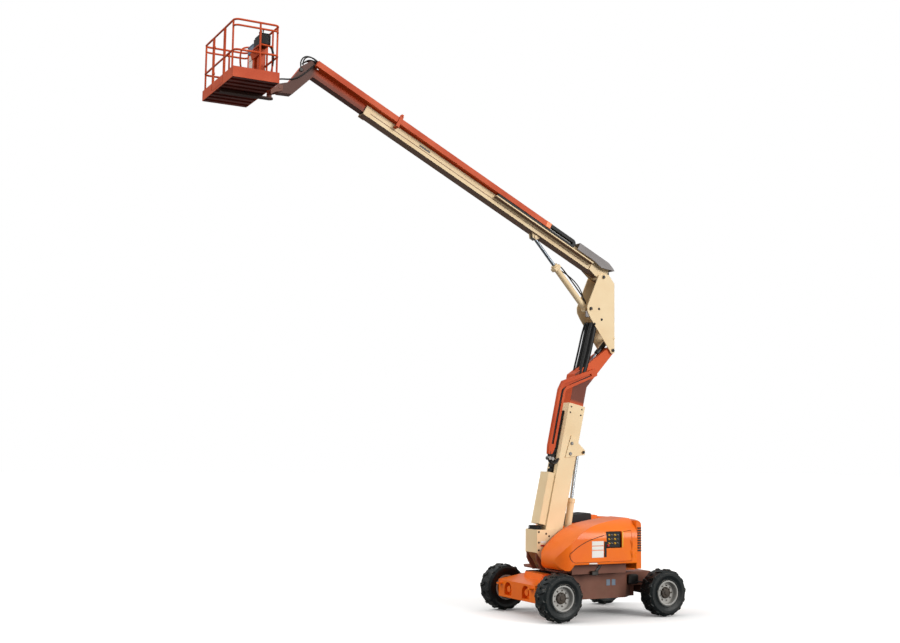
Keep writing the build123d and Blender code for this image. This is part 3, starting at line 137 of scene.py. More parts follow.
def carried(profile, path):
    """A flat profile carried along a path: at each path point it lies square to the line of travel."""
    path = np.array(path, float)
    travel = np.gradient(path, axis=0)
    travel /= np.linalg.norm(travel, axis=1, keepdims=True)
    extent = np.ptp(path, axis=0)
    reference = np.eye(3)[np.argmin(extent)]
    across = np.cross(travel, reference)
    across /= np.linalg.norm(across, axis=1, keepdims=True)
    over = np.cross(across, travel)
    profile = np.array(profile, float)
    rows = path[:, None] + profile[None, :, :1] * over[:, None] + profile[None, :, 1:] * across[:, None]
    return skin(rows)


def circle(radius, sides=12):
    """Points round a circle: radius times cosine and sine of equal steps."""
    angle = np.linspace(0, 2 * np.pi, sides, endpoint=False)
    return np.stack([radius * np.cos(angle), radius * np.sin(angle)], -1)


def hose(points, radius, sides=10, steps=10):
    """A round hose along a soft line past these points."""
    return carried(circle(radius, sides), smooth_path(points, steps))


bent = hose([(0, 0, 0), (0, 0, 1), (1, 0, 1)], 0.02)
print("a bent hose has", len(bent[0]), "points and", len(bent[1]), "faces")

# %% [markdown]
# ## Blocks and turned shapes
# Plates, boxes and pads have edges that catch a little light. They are stacked from rounded rectangles rather than
# bevelled by a modifier. Hubs, nuts, caps and knobs come off a lathe on the real machine; a profile turned about an
# axis is the same thing in an array.

# %% Blocks and turned shapes
def rounded_rectangle(width, height, corner, steps=4):
    """A rectangle whose corners are quarter circles, as points in order round it."""
    angle = np.linspace(0, np.pi / 2, steps)
    quarter = np.stack([np.cos(angle), np.sin(angle)], -1) * corner
    turns = [((1, 1), 0), ((-1, 1), 1), ((-1, -1), 2), ((1, -1), 3)]
    parts = []
    for (sx, sy), turn in turns:
        c, s = round(math.cos(turn * math.pi / 2)), round(math.sin(turn * math.pi / 2))
        centre = (sx * (width / 2 - corner), sy * (height / 2 - corner))
        parts.append(quarter @ np.array([[c, s], [-s, c]]) + centre)
    return np.concatenate(parts)


def cushion_block(low, high, edge):
    """A block with rounded edges: a rounded rectangle stacked in four rows, the end rows drawn in by the edge."""
    low, high = np.array(low, float), np.array(high, float)
    size = high - low
    middle = (low + high) / 2
    heights = np.array([low[2], low[2] + edge, high[2] - edge, high[2]])
    inset = np.array([edge, 0, 0, edge])
    rows = []
    for height, drawn_in in zip(heights, inset):
        width, depth = size[:2] - 2 * drawn_in
        outline = rounded_rectangle(width, depth, min(edge, width / 2, depth / 2))
        rows.append(np.column_stack([outline + middle[:2], np.full(len(outline), height)]))
    return skin(np.array(rows))


def turned(profile, origin, axis, sides=24, closed=False):
    """A profile of (radius, distance) pairs turned about an axis: distance along it, radius round it. A closed
    profile makes a ring."""
    axis = np.array(axis, float) / np.linalg.norm(axis)
    start = np.cross(axis, np.eye(3)[np.argmin(np.abs(axis))])
    start /= np.linalg.norm(start)
    side = np.cross(axis, start)
    angle = np.linspace(0, 2 * np.pi, sides, endpoint=False)
    spokes = np.cos(angle)[:, None] * start + np.sin(angle)[:, None] * side
    profile = np.array(profile, float)
    rows = np.array(origin, float) + profile[:, 1, None, None] * axis + profile[:, 0, None, None] * spokes[None]
    return skin(np.concatenate([rows, rows[:1]]) if closed else rows, capped=False)


def moved(shape, offset):
    """The same shape, shifted."""
    return shape[0] + np.array(offset, float), shape[1]


def in_plane(shape, origin, x_axis, y_axis, z_axis):
    """A shape drawn in its own axes, set down with those axes in the machine's frame."""
    basis = np.array([x_axis, y_axis, z_axis], float)
    return shape[0] @ basis + np.array(origin, float), shape[1]


print("a rounded block has", len(cushion_block((0, 0, 0), (1, 1, 1), 0.1)[1]), "faces")

# %% [markdown]
# ## From shape to piece
# A shape becomes a piece when it has a mesh, a finish and a body to ride on. Turned shapes are open at the
# back, and blocks set in mirrored axes are inside out. Both are mended here, once, so that no shape has to care.

# %% From shape to piece
MEETING = 1e-6
SHARP_ANGLE = 35


def close_up(mesh):
    """A closed shell: points that meet are made one, open ends are filled, and all faces are turned outwards."""
    shell = bmesh.new()
    shell.from_mesh(mesh)
    bmesh.ops.remove_doubles(shell, verts=shell.verts, dist=MEETING)
    bmesh.ops.holes_fill(shell, edges=shell.edges, sides=0)
    bmesh.ops.recalc_face_normals(shell, faces=shell.faces)
    shell.to_mesh(mesh)
    shell.free()


def piece(name, shape, body, material, smooth=SHARP_ANGLE):
    """A shape as a mesh that rides on a body, with its finish."""
    mesh = bpy.data.meshes.new(name)
    mesh.from_pydata(shape[0].tolist(), [], shape[1])
    close_up(mesh)
    made = placed(name, mesh)
    mesh.materials.append(material)
    mesh.shade_smooth()
    mesh.set_sharp_from_angle(angle=math.radians(smooth))
    if body:
        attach(made, body)
    return made


print("points nearer than", MEETING, "m are made one")

# %% [markdown]
# ## Places
# The joints of the model give the lines that finishes and added pieces follow: wheel centres, pins, and the directions
# of tower and boom. Typed in the machine's frame, points on a leaning boom would tell a reader nothing, so they are
# given in that section's own axes.

# %% Places
joints = {joint["name"]: joint for joint in frame["record"]["behaviour"]["joints"]}
NEAR_SIDE = np.array([0.0, -1.0, 0.0])


def pin(name):
    """The place of a joint."""
    return np.array(joints[name]["pos_m"], float)


def section_axes(slide, sign):
    """Along and across of a telescoping section; across is along turned a quarter turn in the side view."""
    along = np.array(joints[slide]["axis"], float)
    return along, sign * np.array([-along[2], 0.0, along[0]])


TOWER_FOOT = pin("tower_lift")
TOWER_ALONG, TOWER_LEFT = section_axes("tower_tele", 1)
BOOM_FOOT = pin("boom_lift")
BOOM_ALONG, BOOM_UP = section_axes("boom_tele", -1)


def on_tower(along, left, near):
    """A point in the tower's own axes."""
    return TOWER_FOOT + along * TOWER_ALONG + left * TOWER_LEFT + near * NEAR_SIDE


def boom_block(low, high, edge):
    """A rounded block drawn in the main boom's axes."""
    return in_plane(cushion_block(low, high, edge), BOOM_FOOT, BOOM_ALONG, BOOM_UP, NEAR_SIDE)


for section, along in (("tower", TOWER_ALONG), ("boom", BOOM_ALONG)):
    print(section, "rises", round(math.degrees(math.asin(along[2])), 1), "degrees")

# %% [markdown]
# ## Finishes
# Paint on a working machine is never one flat colour. It could be painted on images, piece by piece. Nodes work it out
# from the shape instead, so no piece needs an unwrap. These helpers keep a tree of nodes short to write.

# %% Node helpers
FLOAT, VECTOR = "NodeSocketFloat", "NodeSocketVector"
MIX_FACTOR, MIX_FIRST, MIX_SECOND, MIX_RESULT = 0, 6, 7, 2


def feed(tree, socket, value):
    """An input linked to a socket, or set to a value."""
    if isinstance(value, bpy.types.NodeSocket):
        tree.links.new(value, socket)
    else:
        socket.default_value = value


def add_node(tree, kind, settings, *first, **named):
    """A node with its settings, and its first and named inputs each set to a value or linked to a socket."""
    made = tree.nodes.new(kind)
    for key, value in settings.items():
        setattr(made, key, value)
    for socket, value in zip(made.inputs, first):
        feed(tree, socket, value)
    for label, value in named.items():
        feed(tree, made.inputs[label], value)
    return made


def arithmetic(tree, operation, first, second=0.0, clamp=False):
    """One sum on two values or sockets."""
    return add_node(tree, "ShaderNodeMath", {"operation": operation, "use_clamp": clamp}, first, second).outputs[0]


def vector_arithmetic(tree, operation, first, second):
    """One sum on two vectors; a dot product comes out as a value."""
    made = add_node(tree, "ShaderNodeVectorMath", {"operation": operation}, first, second)
    return made.outputs["Value" if operation == "DOT_PRODUCT" else "Vector"]


def mixed(tree, factor, first, second):
    """Two colours mixed by a factor."""
    made = add_node(tree, "ShaderNodeMix", {"data_type": "RGBA"})
    for number, value in ((MIX_FACTOR, factor), (MIX_FIRST, first), (MIX_SECOND, second)):
        feed(tree, made.inputs[number], value)
    return made.outputs[MIX_RESULT]


def spread(tree, value, low, high, to_low=0.0, to_high=1.0):
    """A value spread from one range to another, and held at its ends."""
    return add_node(tree, "ShaderNodeMapRange", {"clamp": True}, value, low, high, to_low, to_high).outputs[0]


def where(tree, kind="Object"):
    """A point's coordinates of one kind."""
    return tree.nodes.new("ShaderNodeTexCoord").outputs[kind]


def part_of(tree, vector, letter):
    """One of a vector's three parts."""
    return add_node(tree, "ShaderNodeSeparateXYZ", {}, vector).outputs[letter]


def noise(tree, scale, detail, roughness=0.5):
    """Cloudy noise from 0 to 1 that is fixed to the piece."""
    values = {"Vector": where(tree), "Scale": scale, "Detail": detail, "Roughness": roughness}
    return add_node(tree, "ShaderNodeTexNoise", {}, **values).outputs["Fac"]


def new_group(name, inputs, outputs):
    """An empty shader group with its named sockets."""
    group = bpy.data.node_groups.new(name, "ShaderNodeTree")
    for label, value in inputs.items():
        group.interface.new_socket(label, in_out="INPUT", socket_type=FLOAT).default_value = value
    for label, kind in outputs.items():
        group.interface.new_socket(label, in_out="OUTPUT", socket_type=kind)
    return group, group.nodes.new("NodeGroupInput"), group.nodes.new("NodeGroupOutput")


def new_material(name):
    """A material with its tree of nodes and its shader."""
    material = bpy.data.materials.new(name)
    material.use_nodes = True
    return material, material.node_tree, material.node_tree.nodes["Principled BSDF"]


def linear(colour):
    """A screen colour as light: the sRGB curve undone, channel by channel."""
    return tuple(c / 12.92 if c <= 0.04045 else ((c + 0.055) / 1.055) ** 2.4 for c in colour) + (1.0,)


print("a middle grey is", round(linear((0.5, 0.5, 0.5))[0], 3), "as light")

# %% [markdown]
# ## Effects that all finishes share
# Three effects are in every finish, so each is a node group: edge wear, where paint is thin on a corner, which on the
# tyres carries a painted highlight instead; dust, which lies on upward faces and low down; and grain, the fine
# unevenness that breaks up reflections. Edge wear compares the true normal with one smoothed across the corner, which
# needs no mark on the mesh.

# %% Shared effects
def edge_wear_group():
    """Mask that is 1 on corners, for wear on paint and a painted highlight on tyres: 1 minus the dot of true and
    rounded normal, broken up by noise.
    """
    group, entry, out = new_group("edge_wear_and_highlight", {"Radius": 0.006, "Amount": 1.0}, {"Mask": FLOAT, "Normal": VECTOR})
    rounded = add_node(group, "ShaderNodeBevel", {"samples": 4}, Radius=entry.outputs["Radius"]).outputs[0]
    true = group.nodes.new("ShaderNodeNewGeometry").outputs["Normal"]
    bend = arithmetic(group, "SUBTRACT", 1.0, vector_arithmetic(group, "DOT_PRODUCT", rounded, true))
    broken = spread(group, noise(group, 14.0, 6.0, 0.7), 0.50, 0.66)
    wear_and_highlight = arithmetic(group, "MULTIPLY", spread(group, bend, 0.02, 0.22), broken)
    group.links.new(arithmetic(group, "MULTIPLY", wear_and_highlight, entry.outputs["Amount"], True), out.inputs["Mask"])
    group.links.new(rounded, out.inputs["Normal"])
    return group


def dust_group():
    """Mask of dust: noise, more on faces that look up and on what is near the ground."""
    group, entry, out = new_group("dust", {"Amount": 0.3, "Splash height": 1.2}, {"Mask": FLOAT})
    facing = part_of(group, group.nodes.new("ShaderNodeNewGeometry").outputs["Normal"], "Z")
    lying = spread(group, facing, 0.3, 1.0, 0.0, 0.6)
    height = arithmetic(group, "DIVIDE", part_of(group, where(group), "Z"), entry.outputs["Splash height"])
    splash = spread(group, height, 0.1, 1.0, 1.0, 0.0)
    patchy = spread(group, noise(group, 5.0, 8.0, 0.65), 0.35, 0.75)
    dusty = arithmetic(group, "MULTIPLY", arithmetic(group, "ADD", lying, splash, True), patchy)
    group.links.new(arithmetic(group, "MULTIPLY", dusty, entry.outputs["Amount"], True), out.inputs["Mask"])
    return group


def grain_group():
    """Two noises: fine height for a bump, and a slow tone that shifts colour and gloss from place to place."""
    group, entry, out = new_group("grain", {"Scale": 300.0, "Tone scale": 1.6}, {"Height": FLOAT, "Tone": FLOAT})
    slow = noise(group, entry.outputs["Tone scale"], 5.0)
    group.links.new(noise(group, entry.outputs["Scale"], 3.0), out.inputs["Height"])
    group.links.new(spread(group, slow, 0.3, 0.7), out.inputs["Tone"])
    return group


EDGE_WEAR_AND_HIGHLIGHT = edge_wear_group()
DUST = dust_group()
GRAIN = grain_group()
print("shared effects:", EDGE_WEAR_AND_HIGHLIGHT.name, DUST.name, GRAIN.name)

# %% [markdown]
# ## One recipe for paint, plastic, rubber and metal
# All finishes share a recipe: a base colour that drifts to a second tone, thin paint on corners in a third, dust over
# both; on the tyres that third colour is a painted highlight. What differs is the gloss, the metal and the size of the
# grain, so the recipe takes those as values, and painted shade where the machine lies in shade: a darker stretch of the
# side faces, and a darker colour on the faces that look down.

# %% Finish recipe
DUST_COLOUR = linear((0.62, 0.55, 0.45))
GLOSS_DRIFT = 0.12
DUST_ROUGHNESS = 0.35
BUMP_DEPTH = 0.002


def height_along(tree, origin, direction, low, high):
    """Mask from 0 to 1 as a point goes from low to high along a direction: the dot product with it, spread."""
    away = vector_arithmetic(tree, "SUBTRACT", where(tree), origin)
    return spread(tree, vector_arithmetic(tree, "DOT_PRODUCT", away, direction), low, high)


def side_shade_mask(tree):
    """Mask for painted shade on the faces that look to either side: the normal's size across it, squared up."""
    return spread(tree, arithmetic(tree, "ABSOLUTE", part_of(tree, where(tree, "Normal"), "Y")), 0.5, 0.8)


def underside_shade_mask(tree):
    """Mask for painted shade on the faces that look down: minus the normal's height, squared up."""
    return spread(tree, arithmetic(tree, "MULTIPLY", part_of(tree, where(tree, "Normal"), "Z"), -1.0), 0.35, 0.75)


def finish(
    name, base, tone, wear_and_highlight, gloss, wear=0.7, dust=0.35, grain=300.0, bump=0.05, metal=0.0, radius=0.005, coat=0.0,
    shine=0.5, shades=(), painted_shade_below=None,
):
    """Base colour drifting to a tone, a colour on thin corners and dust on top; on tyres the corner colour is a painted
    highlight. Roughness follows the same masks. Each shade is painted shade that darkens the side faces along a
    direction, and the colour below is painted shade on the faces that look down."""
    material, tree, shader = new_material(name)
    edge = add_node(tree, "ShaderNodeGroup", {"node_tree": EDGE_WEAR_AND_HIGHLIGHT}, Radius=radius, Amount=wear)
    dirt = add_node(tree, "ShaderNodeGroup", {"node_tree": DUST}, Amount=dust)
    fine = add_node(tree, "ShaderNodeGroup", {"node_tree": GRAIN}, Scale=grain)
    colour = mixed(tree, fine.outputs["Tone"], linear(base), linear(tone))
    for shade, amount, *line in shades:
        depth = arithmetic(tree, "MULTIPLY", height_along(tree, *line), side_shade_mask(tree))
        colour = mixed(tree, arithmetic(tree, "MULTIPLY", depth, amount), colour, linear(shade))
    if painted_shade_below:
        colour = mixed(tree, underside_shade_mask(tree), colour, linear(painted_shade_below))
    colour = mixed(tree, edge.outputs["Mask"], colour, linear(wear_and_highlight))
    colour = mixed(tree, dirt.outputs["Mask"], colour, DUST_COLOUR)
    tree.links.new(colour, shader.inputs["Base Color"])
    rough = spread(tree, fine.outputs["Tone"], 0.0, 1.0, gloss, gloss + GLOSS_DRIFT)
    rough = arithmetic(tree, "ADD", rough, arithmetic(tree, "MULTIPLY", dirt.outputs["Mask"], DUST_ROUGHNESS), True)
    tree.links.new(rough, shader.inputs["Roughness"])
    for label, value in (("Metallic", metal), ("Coat Weight", coat), ("Specular IOR Level", shine)):
        shader.inputs[label].default_value = value
    relief = {"Height": fine.outputs["Height"], "Normal": edge.outputs["Normal"]}
    bumped = add_node(tree, "ShaderNodeBump", {}, Strength=bump, Distance=BUMP_DEPTH, **relief)
    tree.links.new(bumped.outputs[0], shader.inputs["Normal"])
    return material


print("dust as light:", [round(c, 3) for c in DUST_COLOUR[:3]])

# %% [markdown]
# ## Paints
# Cream and orange enamel over steel, hoods moulded in a brighter orange, grey wheels, black small parts. Each paint is
# one call of the recipe: base, tone and corner colour, then the gloss. The telescoping sections keep the orange's own
# tones and add painted shade where they are shaded, a brown on their sides and undersides with a painted light on the
# tower's nose, so they stay one colour with the rest.

# %% Paints
CREAM_TONES = (0.94, 0.85, 0.69), (0.91, 0.80, 0.63), (0.60, 0.52, 0.42)
CREAM_COAT = {"gloss": 0.42, "wear": 0.5, "dust": 0.12, "shine": 0.25}
CREAM = finish("cream_paint", *CREAM_TONES, **CREAM_COAT)
# The base section's cream gets painted shade on its faces that look down.
BOOM_CREAM_SHADED = finish("boom_cream_with_painted_shade", *CREAM_TONES, **CREAM_COAT, painted_shade_below=(0.47, 0.36, 0.29))
ORANGE_TONES = (0.82, 0.33, 0.12), (0.73, 0.26, 0.10), (0.40, 0.24, 0.17)
ORANGE_COAT = {"gloss": 0.40, "wear": 0.5, "dust": 0.10, "shine": 0.2}
ORANGE = finish("orange_paint", *ORANGE_TONES, **ORANGE_COAT)
HOOD_TONES = (0.96, 0.47, 0.06), (0.91, 0.40, 0.05), (0.70, 0.40, 0.20)
HOOD = finish("hood_panel", *HOOD_TONES, 0.26, wear=0.2, dust=0.03, coat=0.15, shine=0.3)
# Painted shade: a brown on the side faces of the boom's neck, low on the fly's sides and at the tower fly's mouth, and
# on the fly's faces that look down; nose_light is a painted light that brings the orange back on the tower's nose.
SHADE_BROWN = (0.33, 0.19, 0.15)
neck_shade = (SHADE_BROWN, 1.0, BOOM_FOOT, BOOM_ALONG, 7.28, 7.38)
low_shade = (SHADE_BROWN, 0.75, BOOM_FOOT, -BOOM_UP, -0.15, -0.07)
BOOM_FLY_SHADED = finish(
    "boom_fly_with_painted_shade", *ORANGE_TONES, **ORANGE_COAT, painted_shade_below=(0.36, 0.19, 0.14), shades=[neck_shade, low_shade])
NOSE_FOOT, NOSE_LINE = (0.0, 0.0, 4.74), (0.5, 0.0, 0.87)
mouth_shade = (SHADE_BROWN, 0.85, TOWER_FOOT, TOWER_ALONG, 2.88, 2.96)
nose_light = (ORANGE_TONES[0], 1.0, NOSE_FOOT, NOSE_LINE, 0.02, 0.10)
TOWER_FLY_SHADED = finish("tower_fly_with_painted_shade", *ORANGE_TONES, **ORANGE_COAT, shades=[mouth_shade, nose_light])
# The frame, axles, turntable and platform support are orange in shade painted as a brown: painted shade. The boom's
# seam takes the same brown.
SHADE_AND_SEAM_TONES = (0.49, 0.31, 0.25), (0.42, 0.26, 0.21), (0.30, 0.27, 0.25)
SHADE_AND_SEAM_BROWN = finish("brown_for_painted_shade_and_seams", *SHADE_AND_SEAM_TONES, 0.46, dust=0.2, shine=0.25)
GREY = finish("grey_paint", (0.50, 0.48, 0.48), (0.44, 0.42, 0.42), (0.32, 0.31, 0.30), 0.42)
BLACK = finish("black_paint", (0.09, 0.09, 0.09), (0.06, 0.06, 0.06), (0.32, 0.31, 0.30), 0.38, wear=0.5)
RIM = finish("wheel_paint", (0.68, 0.68, 0.67), (0.60, 0.60, 0.59), (0.36, 0.34, 0.32), 0.38, dust=0.25)
WHITE = finish("white_panel", (0.92, 0.91, 0.89), (0.88, 0.87, 0.84), (0.6, 0.6, 0.58), 0.35, wear=0.2)
BLUE_GREY = finish("control_panel", (0.42, 0.50, 0.58), (0.38, 0.45, 0.53), (0.3, 0.3, 0.3), 0.42, wear=0.3)
YELLOW = finish("yellow_cap", (0.95, 0.72, 0.12), (0.90, 0.66, 0.10), (0.6, 0.5, 0.2), 0.35, wear=0.1)
RED = finish("red_knob", (0.72, 0.06, 0.05), (0.62, 0.05, 0.05), (0.4, 0.1, 0.1), 0.30, wear=0.1)
# Painted shade: the platform's bracket under the floor is painted a dark brown where it lies in shade.
PAINTED_UNDERSIDE_SHADE = finish("platform_bracket_painted_shade", (0.27, 0.16, 0.13), (0.22, 0.13, 0.10), (0.2, 0.16, 0.14), 0.5, shine=0.2)
# The floor slats are red, painted darker as painted shade, since only their shaded underside is seen.
DECK_RED_AND_SHADE = finish("floor_slats_with_painted_shade", (0.46, 0.15, 0.09), (0.26, 0.10, 0.07), (0.16, 0.10, 0.08), 0.5, dust=0.2, shine=0.2)
print("materials in the file:", len(bpy.data.materials))

# %% [markdown]
# ## Rubber, plastic and metal
# Tyres and hoses are black rubber, the covers of the controls black plastic, rods bright chromed steel and hubs rough
# castings. The same recipe serves: a coarser grain for rubber and castings, metal and no wear for the rods. On the
# tyres the corner colour is a pale painted highlight, so the corners of the lugs stand out.

# %% Rubber, plastic and metal
PLASTIC_TONES = (0.07, 0.07, 0.075), (0.05, 0.05, 0.05), (0.16, 0.16, 0.16)
PLASTIC = finish("black_plastic", *PLASTIC_TONES, 0.48, dust=0.1, grain=500.0, bump=0.12, shine=0.3)
HOSE_TONES = (0.06, 0.06, 0.06), (0.04, 0.04, 0.04), (0.14, 0.13, 0.12)
RUBBER = finish("hose_rubber", *HOSE_TONES, 0.45, dust=0.1, grain=220.0, bump=0.10, shine=0.4)
# The tyre's third colour is a pale painted highlight on the corners of its lugs.
TYRE_TONES_AND_HIGHLIGHT = (0.05, 0.09, 0.10), (0.03, 0.06, 0.07), (0.74, 0.69, 0.62)
TYRE_HIGHLIGHTED = finish(
    "tyre_rubber", *TYRE_TONES_AND_HIGHLIGHT, 0.36, wear=1.0, dust=0.02, grain=160.0, bump=0.25, radius=0.014, shine=0.3)
POLISHED = {"wear": 0.0, "dust": 0.1, "bump": 0.01}
BRIGHT_ROD = finish(
    "bright_rod", (0.80, 0.83, 0.86), (0.74, 0.77, 0.80), (0.6, 0.6, 0.6), 0.20, metal=0.8, **POLISHED)
CHROME = finish("rod_chrome", (0.52, 0.55, 0.58), (0.46, 0.49, 0.52), (0.6, 0.6, 0.6), 0.14, metal=1.0, **POLISHED)
STEEL = finish("bare_steel", (0.48, 0.47, 0.46), (0.40, 0.39, 0.38), (0.6, 0.6, 0.6), 0.32, dust=0.2, metal=0.9)
BOLT = finish("dark_bolt", (0.16, 0.15, 0.14), (0.11, 0.10, 0.10), (0.4, 0.4, 0.4), 0.40, metal=0.6)
HUB_TONES = (0.17, 0.13, 0.11), (0.11, 0.09, 0.08), (0.30, 0.26, 0.23)
HUB = finish("hub_casting", *HUB_TONES, 0.55, dust=0.3, grain=90.0, bump=0.2)
print("materials now:", len(bpy.data.materials))

# %% [markdown]
# ## Finishes for the solids
# On the real machine each weldment is painted before it is put together, so one solid has one finish. A table by name
# says which; wheels come in fours, so a loop adds them.

# %% Finishes for the solids
COATS = (
    (CREAM, "tower_mount tower_base tower_hose_cover upright boom_lift_barrel tower_lift_barrel"),
    (BOOM_CREAM_SHADED, "boom_base boom_tray"),
    (ORANGE, "hose_channel push_tube guard_rails platform_gate platform_console"),
    (TOWER_FLY_SHADED, "tower_fly"), (BOOM_FLY_SHADED, "boom_fly"),
    (HOOD, "hood_right hood_left hood_door_right hood_door_left drive_axle tie_down_lugs tail_weight"),
    (SHADE_AND_SEAM_BROWN, "platform_support chassis_frame turntable_frame steer_axle knuckle_right knuckle_left"),
    (PAINTED_UNDERSIDE_SHADE, "platform_bracket"), (DECK_RED_AND_SHADE, "platform_floor"), (GREY, "boom_rear_cover"), (STEEL, "swing_bearing"),
    (BLACK, "tie_rod level_barrel engine tank"),
    (PLASTIC, "ground_control tower_hose_chain boom_hose_chain hood_vent"),
    (BRIGHT_ROD, "tower_lift_rod"), (CHROME, "boom_lift_rod level_rod"),
)
FINISHES = {name: coat for coat, names in COATS for name in names.split()}
WHEEL_NAMES = ("drive_right", "drive_left", "steer_right", "steer_left")
for wheel in WHEEL_NAMES:
    FINISHES[f"tyre_{wheel}"] = TYRE_HIGHLIGHTED
    FINISHES[f"rim_{wheel}"] = RIM
for name, solid in nodes.items():
    solid.data.materials.clear()
    solid.data.materials.append(FINISHES[name])
print("finished solids:", len(nodes))

# %% [markdown]
# ## Wheels
# A driven wheel's hub is a planetary gear case: a dark stepped casting with a ring of studs and nuts on the grey disc.
# The casting is one profile turned about the axle; the nuts are six-sided turned pieces. One nut copied round the axle
# keeps the ring exact.

# %% Hubs and wheel nuts
DISC_FACE = 0.0765
HUB_PROFILE = [
    (0.0, 0.132), (0.040, 0.130), (0.052, 0.116), (0.082, 0.112), (0.104, 0.104), (0.112, 0.088), (0.112, DISC_FACE)]
NUT_PROFILE = [(0.0, 0.026), (0.009, 0.026), (0.010, 0.016), (0.017, 0.015), (0.019, 0.0)]
BEAD_RING = [(0.246, 0.150), (0.254, 0.172), (0.276, 0.176), (0.288, 0.160), (0.270, 0.145)]
RIM_LIP = [(0.214, 0.1635), (0.222, 0.171), (0.240, 0.171), (0.248, 0.1635)]
NUT_RINGS = (("nuts", STEEL, "grey_paint", 9, 0.150, DISC_FACE), ("studs", HUB, "dark_paint", 8, 0.092, 0.103))
LIPS = (("bead", BEAD_RING, TYRE_HIGHLIGHTED, "tyre_rubber"), ("rim_lip", RIM_LIP, RIM, "rim_grey"))


def around(shape, axis_point, axis, count):
    """Copies of a shape at equal turns about an axis through a point."""
    turns = [Matrix.Rotation(2 * math.pi * step / count, 3, Vector(axis)) for step in range(count)]
    centre = np.array(axis_point, float)
    return join(*[((shape[0] - centre) @ np.array(turn).T + centre, shape[1]) for turn in turns])


for wheel in WHEEL_NAMES:
    body = f"wheel_{wheel}"
    centre = pin(f"spin_{wheel}")
    out = np.array([0.0, math.copysign(1.0, centre[1]), 0.0])
    piece(f"hub_{wheel}", turned(HUB_PROFILE, centre, out, 32), body, HUB)
    for kind, coat, slot, count, radius, face in NUT_RINGS:
        nut = turned(NUT_PROFILE, centre + out * face + np.array([radius, 0, 0]), out, 6)
        piece(f"{kind}_{wheel}", around(nut, centre, out, count), body, coat, 20)
    for kind, profile, coat, slot in LIPS:
        piece(f"{kind}_{wheel}", turned(profile, centre, out, 48, closed=True), body, coat)
print("wheels:", len(WHEEL_NAMES), "rings of nuts on each:", len(NUT_RINGS))

# %% [markdown]
# ## Bolts and pin caps
# Plates are held by hex bolts and pins by round caps with a keeper. Each could be an object of its own; one turned
# profile placed from a list makes all the bolts of one body one piece, which is lighter and moves as one.

# %% Bolts and pin caps
BOLT_PROFILE = [(0.0, 0.014), (0.014, 0.014), (0.017, 0.010), (0.017, 0.004), (0.024, 0.003), (0.024, -0.001)]
CAP_PROFILE = [(0.0, 0.016), (0.030, 0.016), (0.038, 0.010), (0.040, -0.001)]


def bolts(name, places, body, profile=BOLT_PROFILE, scale=1.0, out=NEAR_SIDE, sides=6, material=None):
    """Bolts or caps at these places, all facing one way."""
    heads = [turned(np.array(profile) * scale, place, out, sides) for place in places]
    piece(name, join(*heads), body, material or BOLT, 20)
    print(name, len(places))


UPRIGHT_FACE, UPRIGHT_CAP = -0.2005, 0.2125
MOUNT_FACE, MOUNT_PIN_FACE = -0.2205, -0.2305
TOWER_FACE, BRACKET_FACE, LIFT_CAP = 0.1855, 0.2055, 0.2235
LIFT_FOOT = np.array([0.08, 0.0, 6.2])
upright_bolts = [(0.285, UPRIGHT_FACE, 6.205), (0.352, UPRIGHT_FACE, 5.989), (0.177, UPRIGHT_FACE, 5.888)]
bolts("upright_bolts", upright_bolts, "upright", scale=1.2)
upright_pins = [pin("boom_lift"), pin("upright_pivot"), LIFT_FOOT]
for side in (-1, 1):
    caps = [place * [1, 0, 1] + [0, side * UPRIGHT_CAP, 0] for place in upright_pins]
    bolts(f"upright_caps_{side + 1}", caps, "upright", CAP_PROFILE, 0.9, (0, side, 0), 16)
    lift_pin = on_tower(1.955, -0.331, side * -LIFT_CAP)
    bolts(f"lift_caps_{side + 1}", [lift_pin], "tower_base", CAP_PROFILE, 0.8, (0, side, 0), 16)
mount_places = ((-1.17, 1.655), (-1.17, 1.45), (-1.17, 1.30), (-1.00, 1.62), (-0.93, 1.57), (-0.70, 1.62))
bolts("mount_bolts", [(x, MOUNT_FACE, z) for x, z in mount_places], "turntable", scale=0.9)
bolts("mount_pin", [(TOWER_FOOT[0], MOUNT_PIN_FACE, TOWER_FOOT[2])], "turntable", CAP_PROFILE, 1.2, sides=16)
tower_bolts = [on_tower(along, left, TOWER_FACE) for along in (2.80, 2.68) for left in (0.13, -0.13)]
bolts("tower_bolts", tower_bolts, "tower_base", scale=0.8)
bracket_pins = [on_tower(2.07, -0.03, BRACKET_FACE), on_tower(1.86, -0.04, BRACKET_FACE)]
bolts("triangle_bolts", bracket_pins, "tower_base", CAP_PROFILE, 0.9, sides=16, material=STEEL)
bolts("neck_bolts", [(-6.367, -0.0955, 10.291)], "boom_fly", CAP_PROFILE, 1.1, sides=16)

# %% [markdown]
# ## Ground controls
# The hood's window shows a black panel with switches. The plates beside it carry words on the real machine; here they
# are blank. Switches are turned profiles, a ring, a stem and a cap, because a picture of a panel would look flat from
# the side.

# %% Ground controls
PANEL_FACE = -1.0605
DOOR_FACE = -1.1005
WINDOW_FACE = -1.0995
SWITCH_PROFILE = [(0.0, 0.030), (0.008, 0.030), (0.009, 0.010), (0.014, 0.009), (0.015, -0.001)]
BUTTON_PROFILE = [
    (0.0, 0.030), (0.020, 0.028), (0.024, 0.020), (0.013, 0.016), (0.013, 0.004), (0.028, 0.003), (0.030, -0.001)]


def near_plate(low_x, high_x, face, low_z, high_z, thick=0.003, edge=0.001):
    """A thin rounded plate that lies on a face of the near side."""
    return cushion_block((low_x, face - thick, low_z), (high_x, face, high_z), edge)


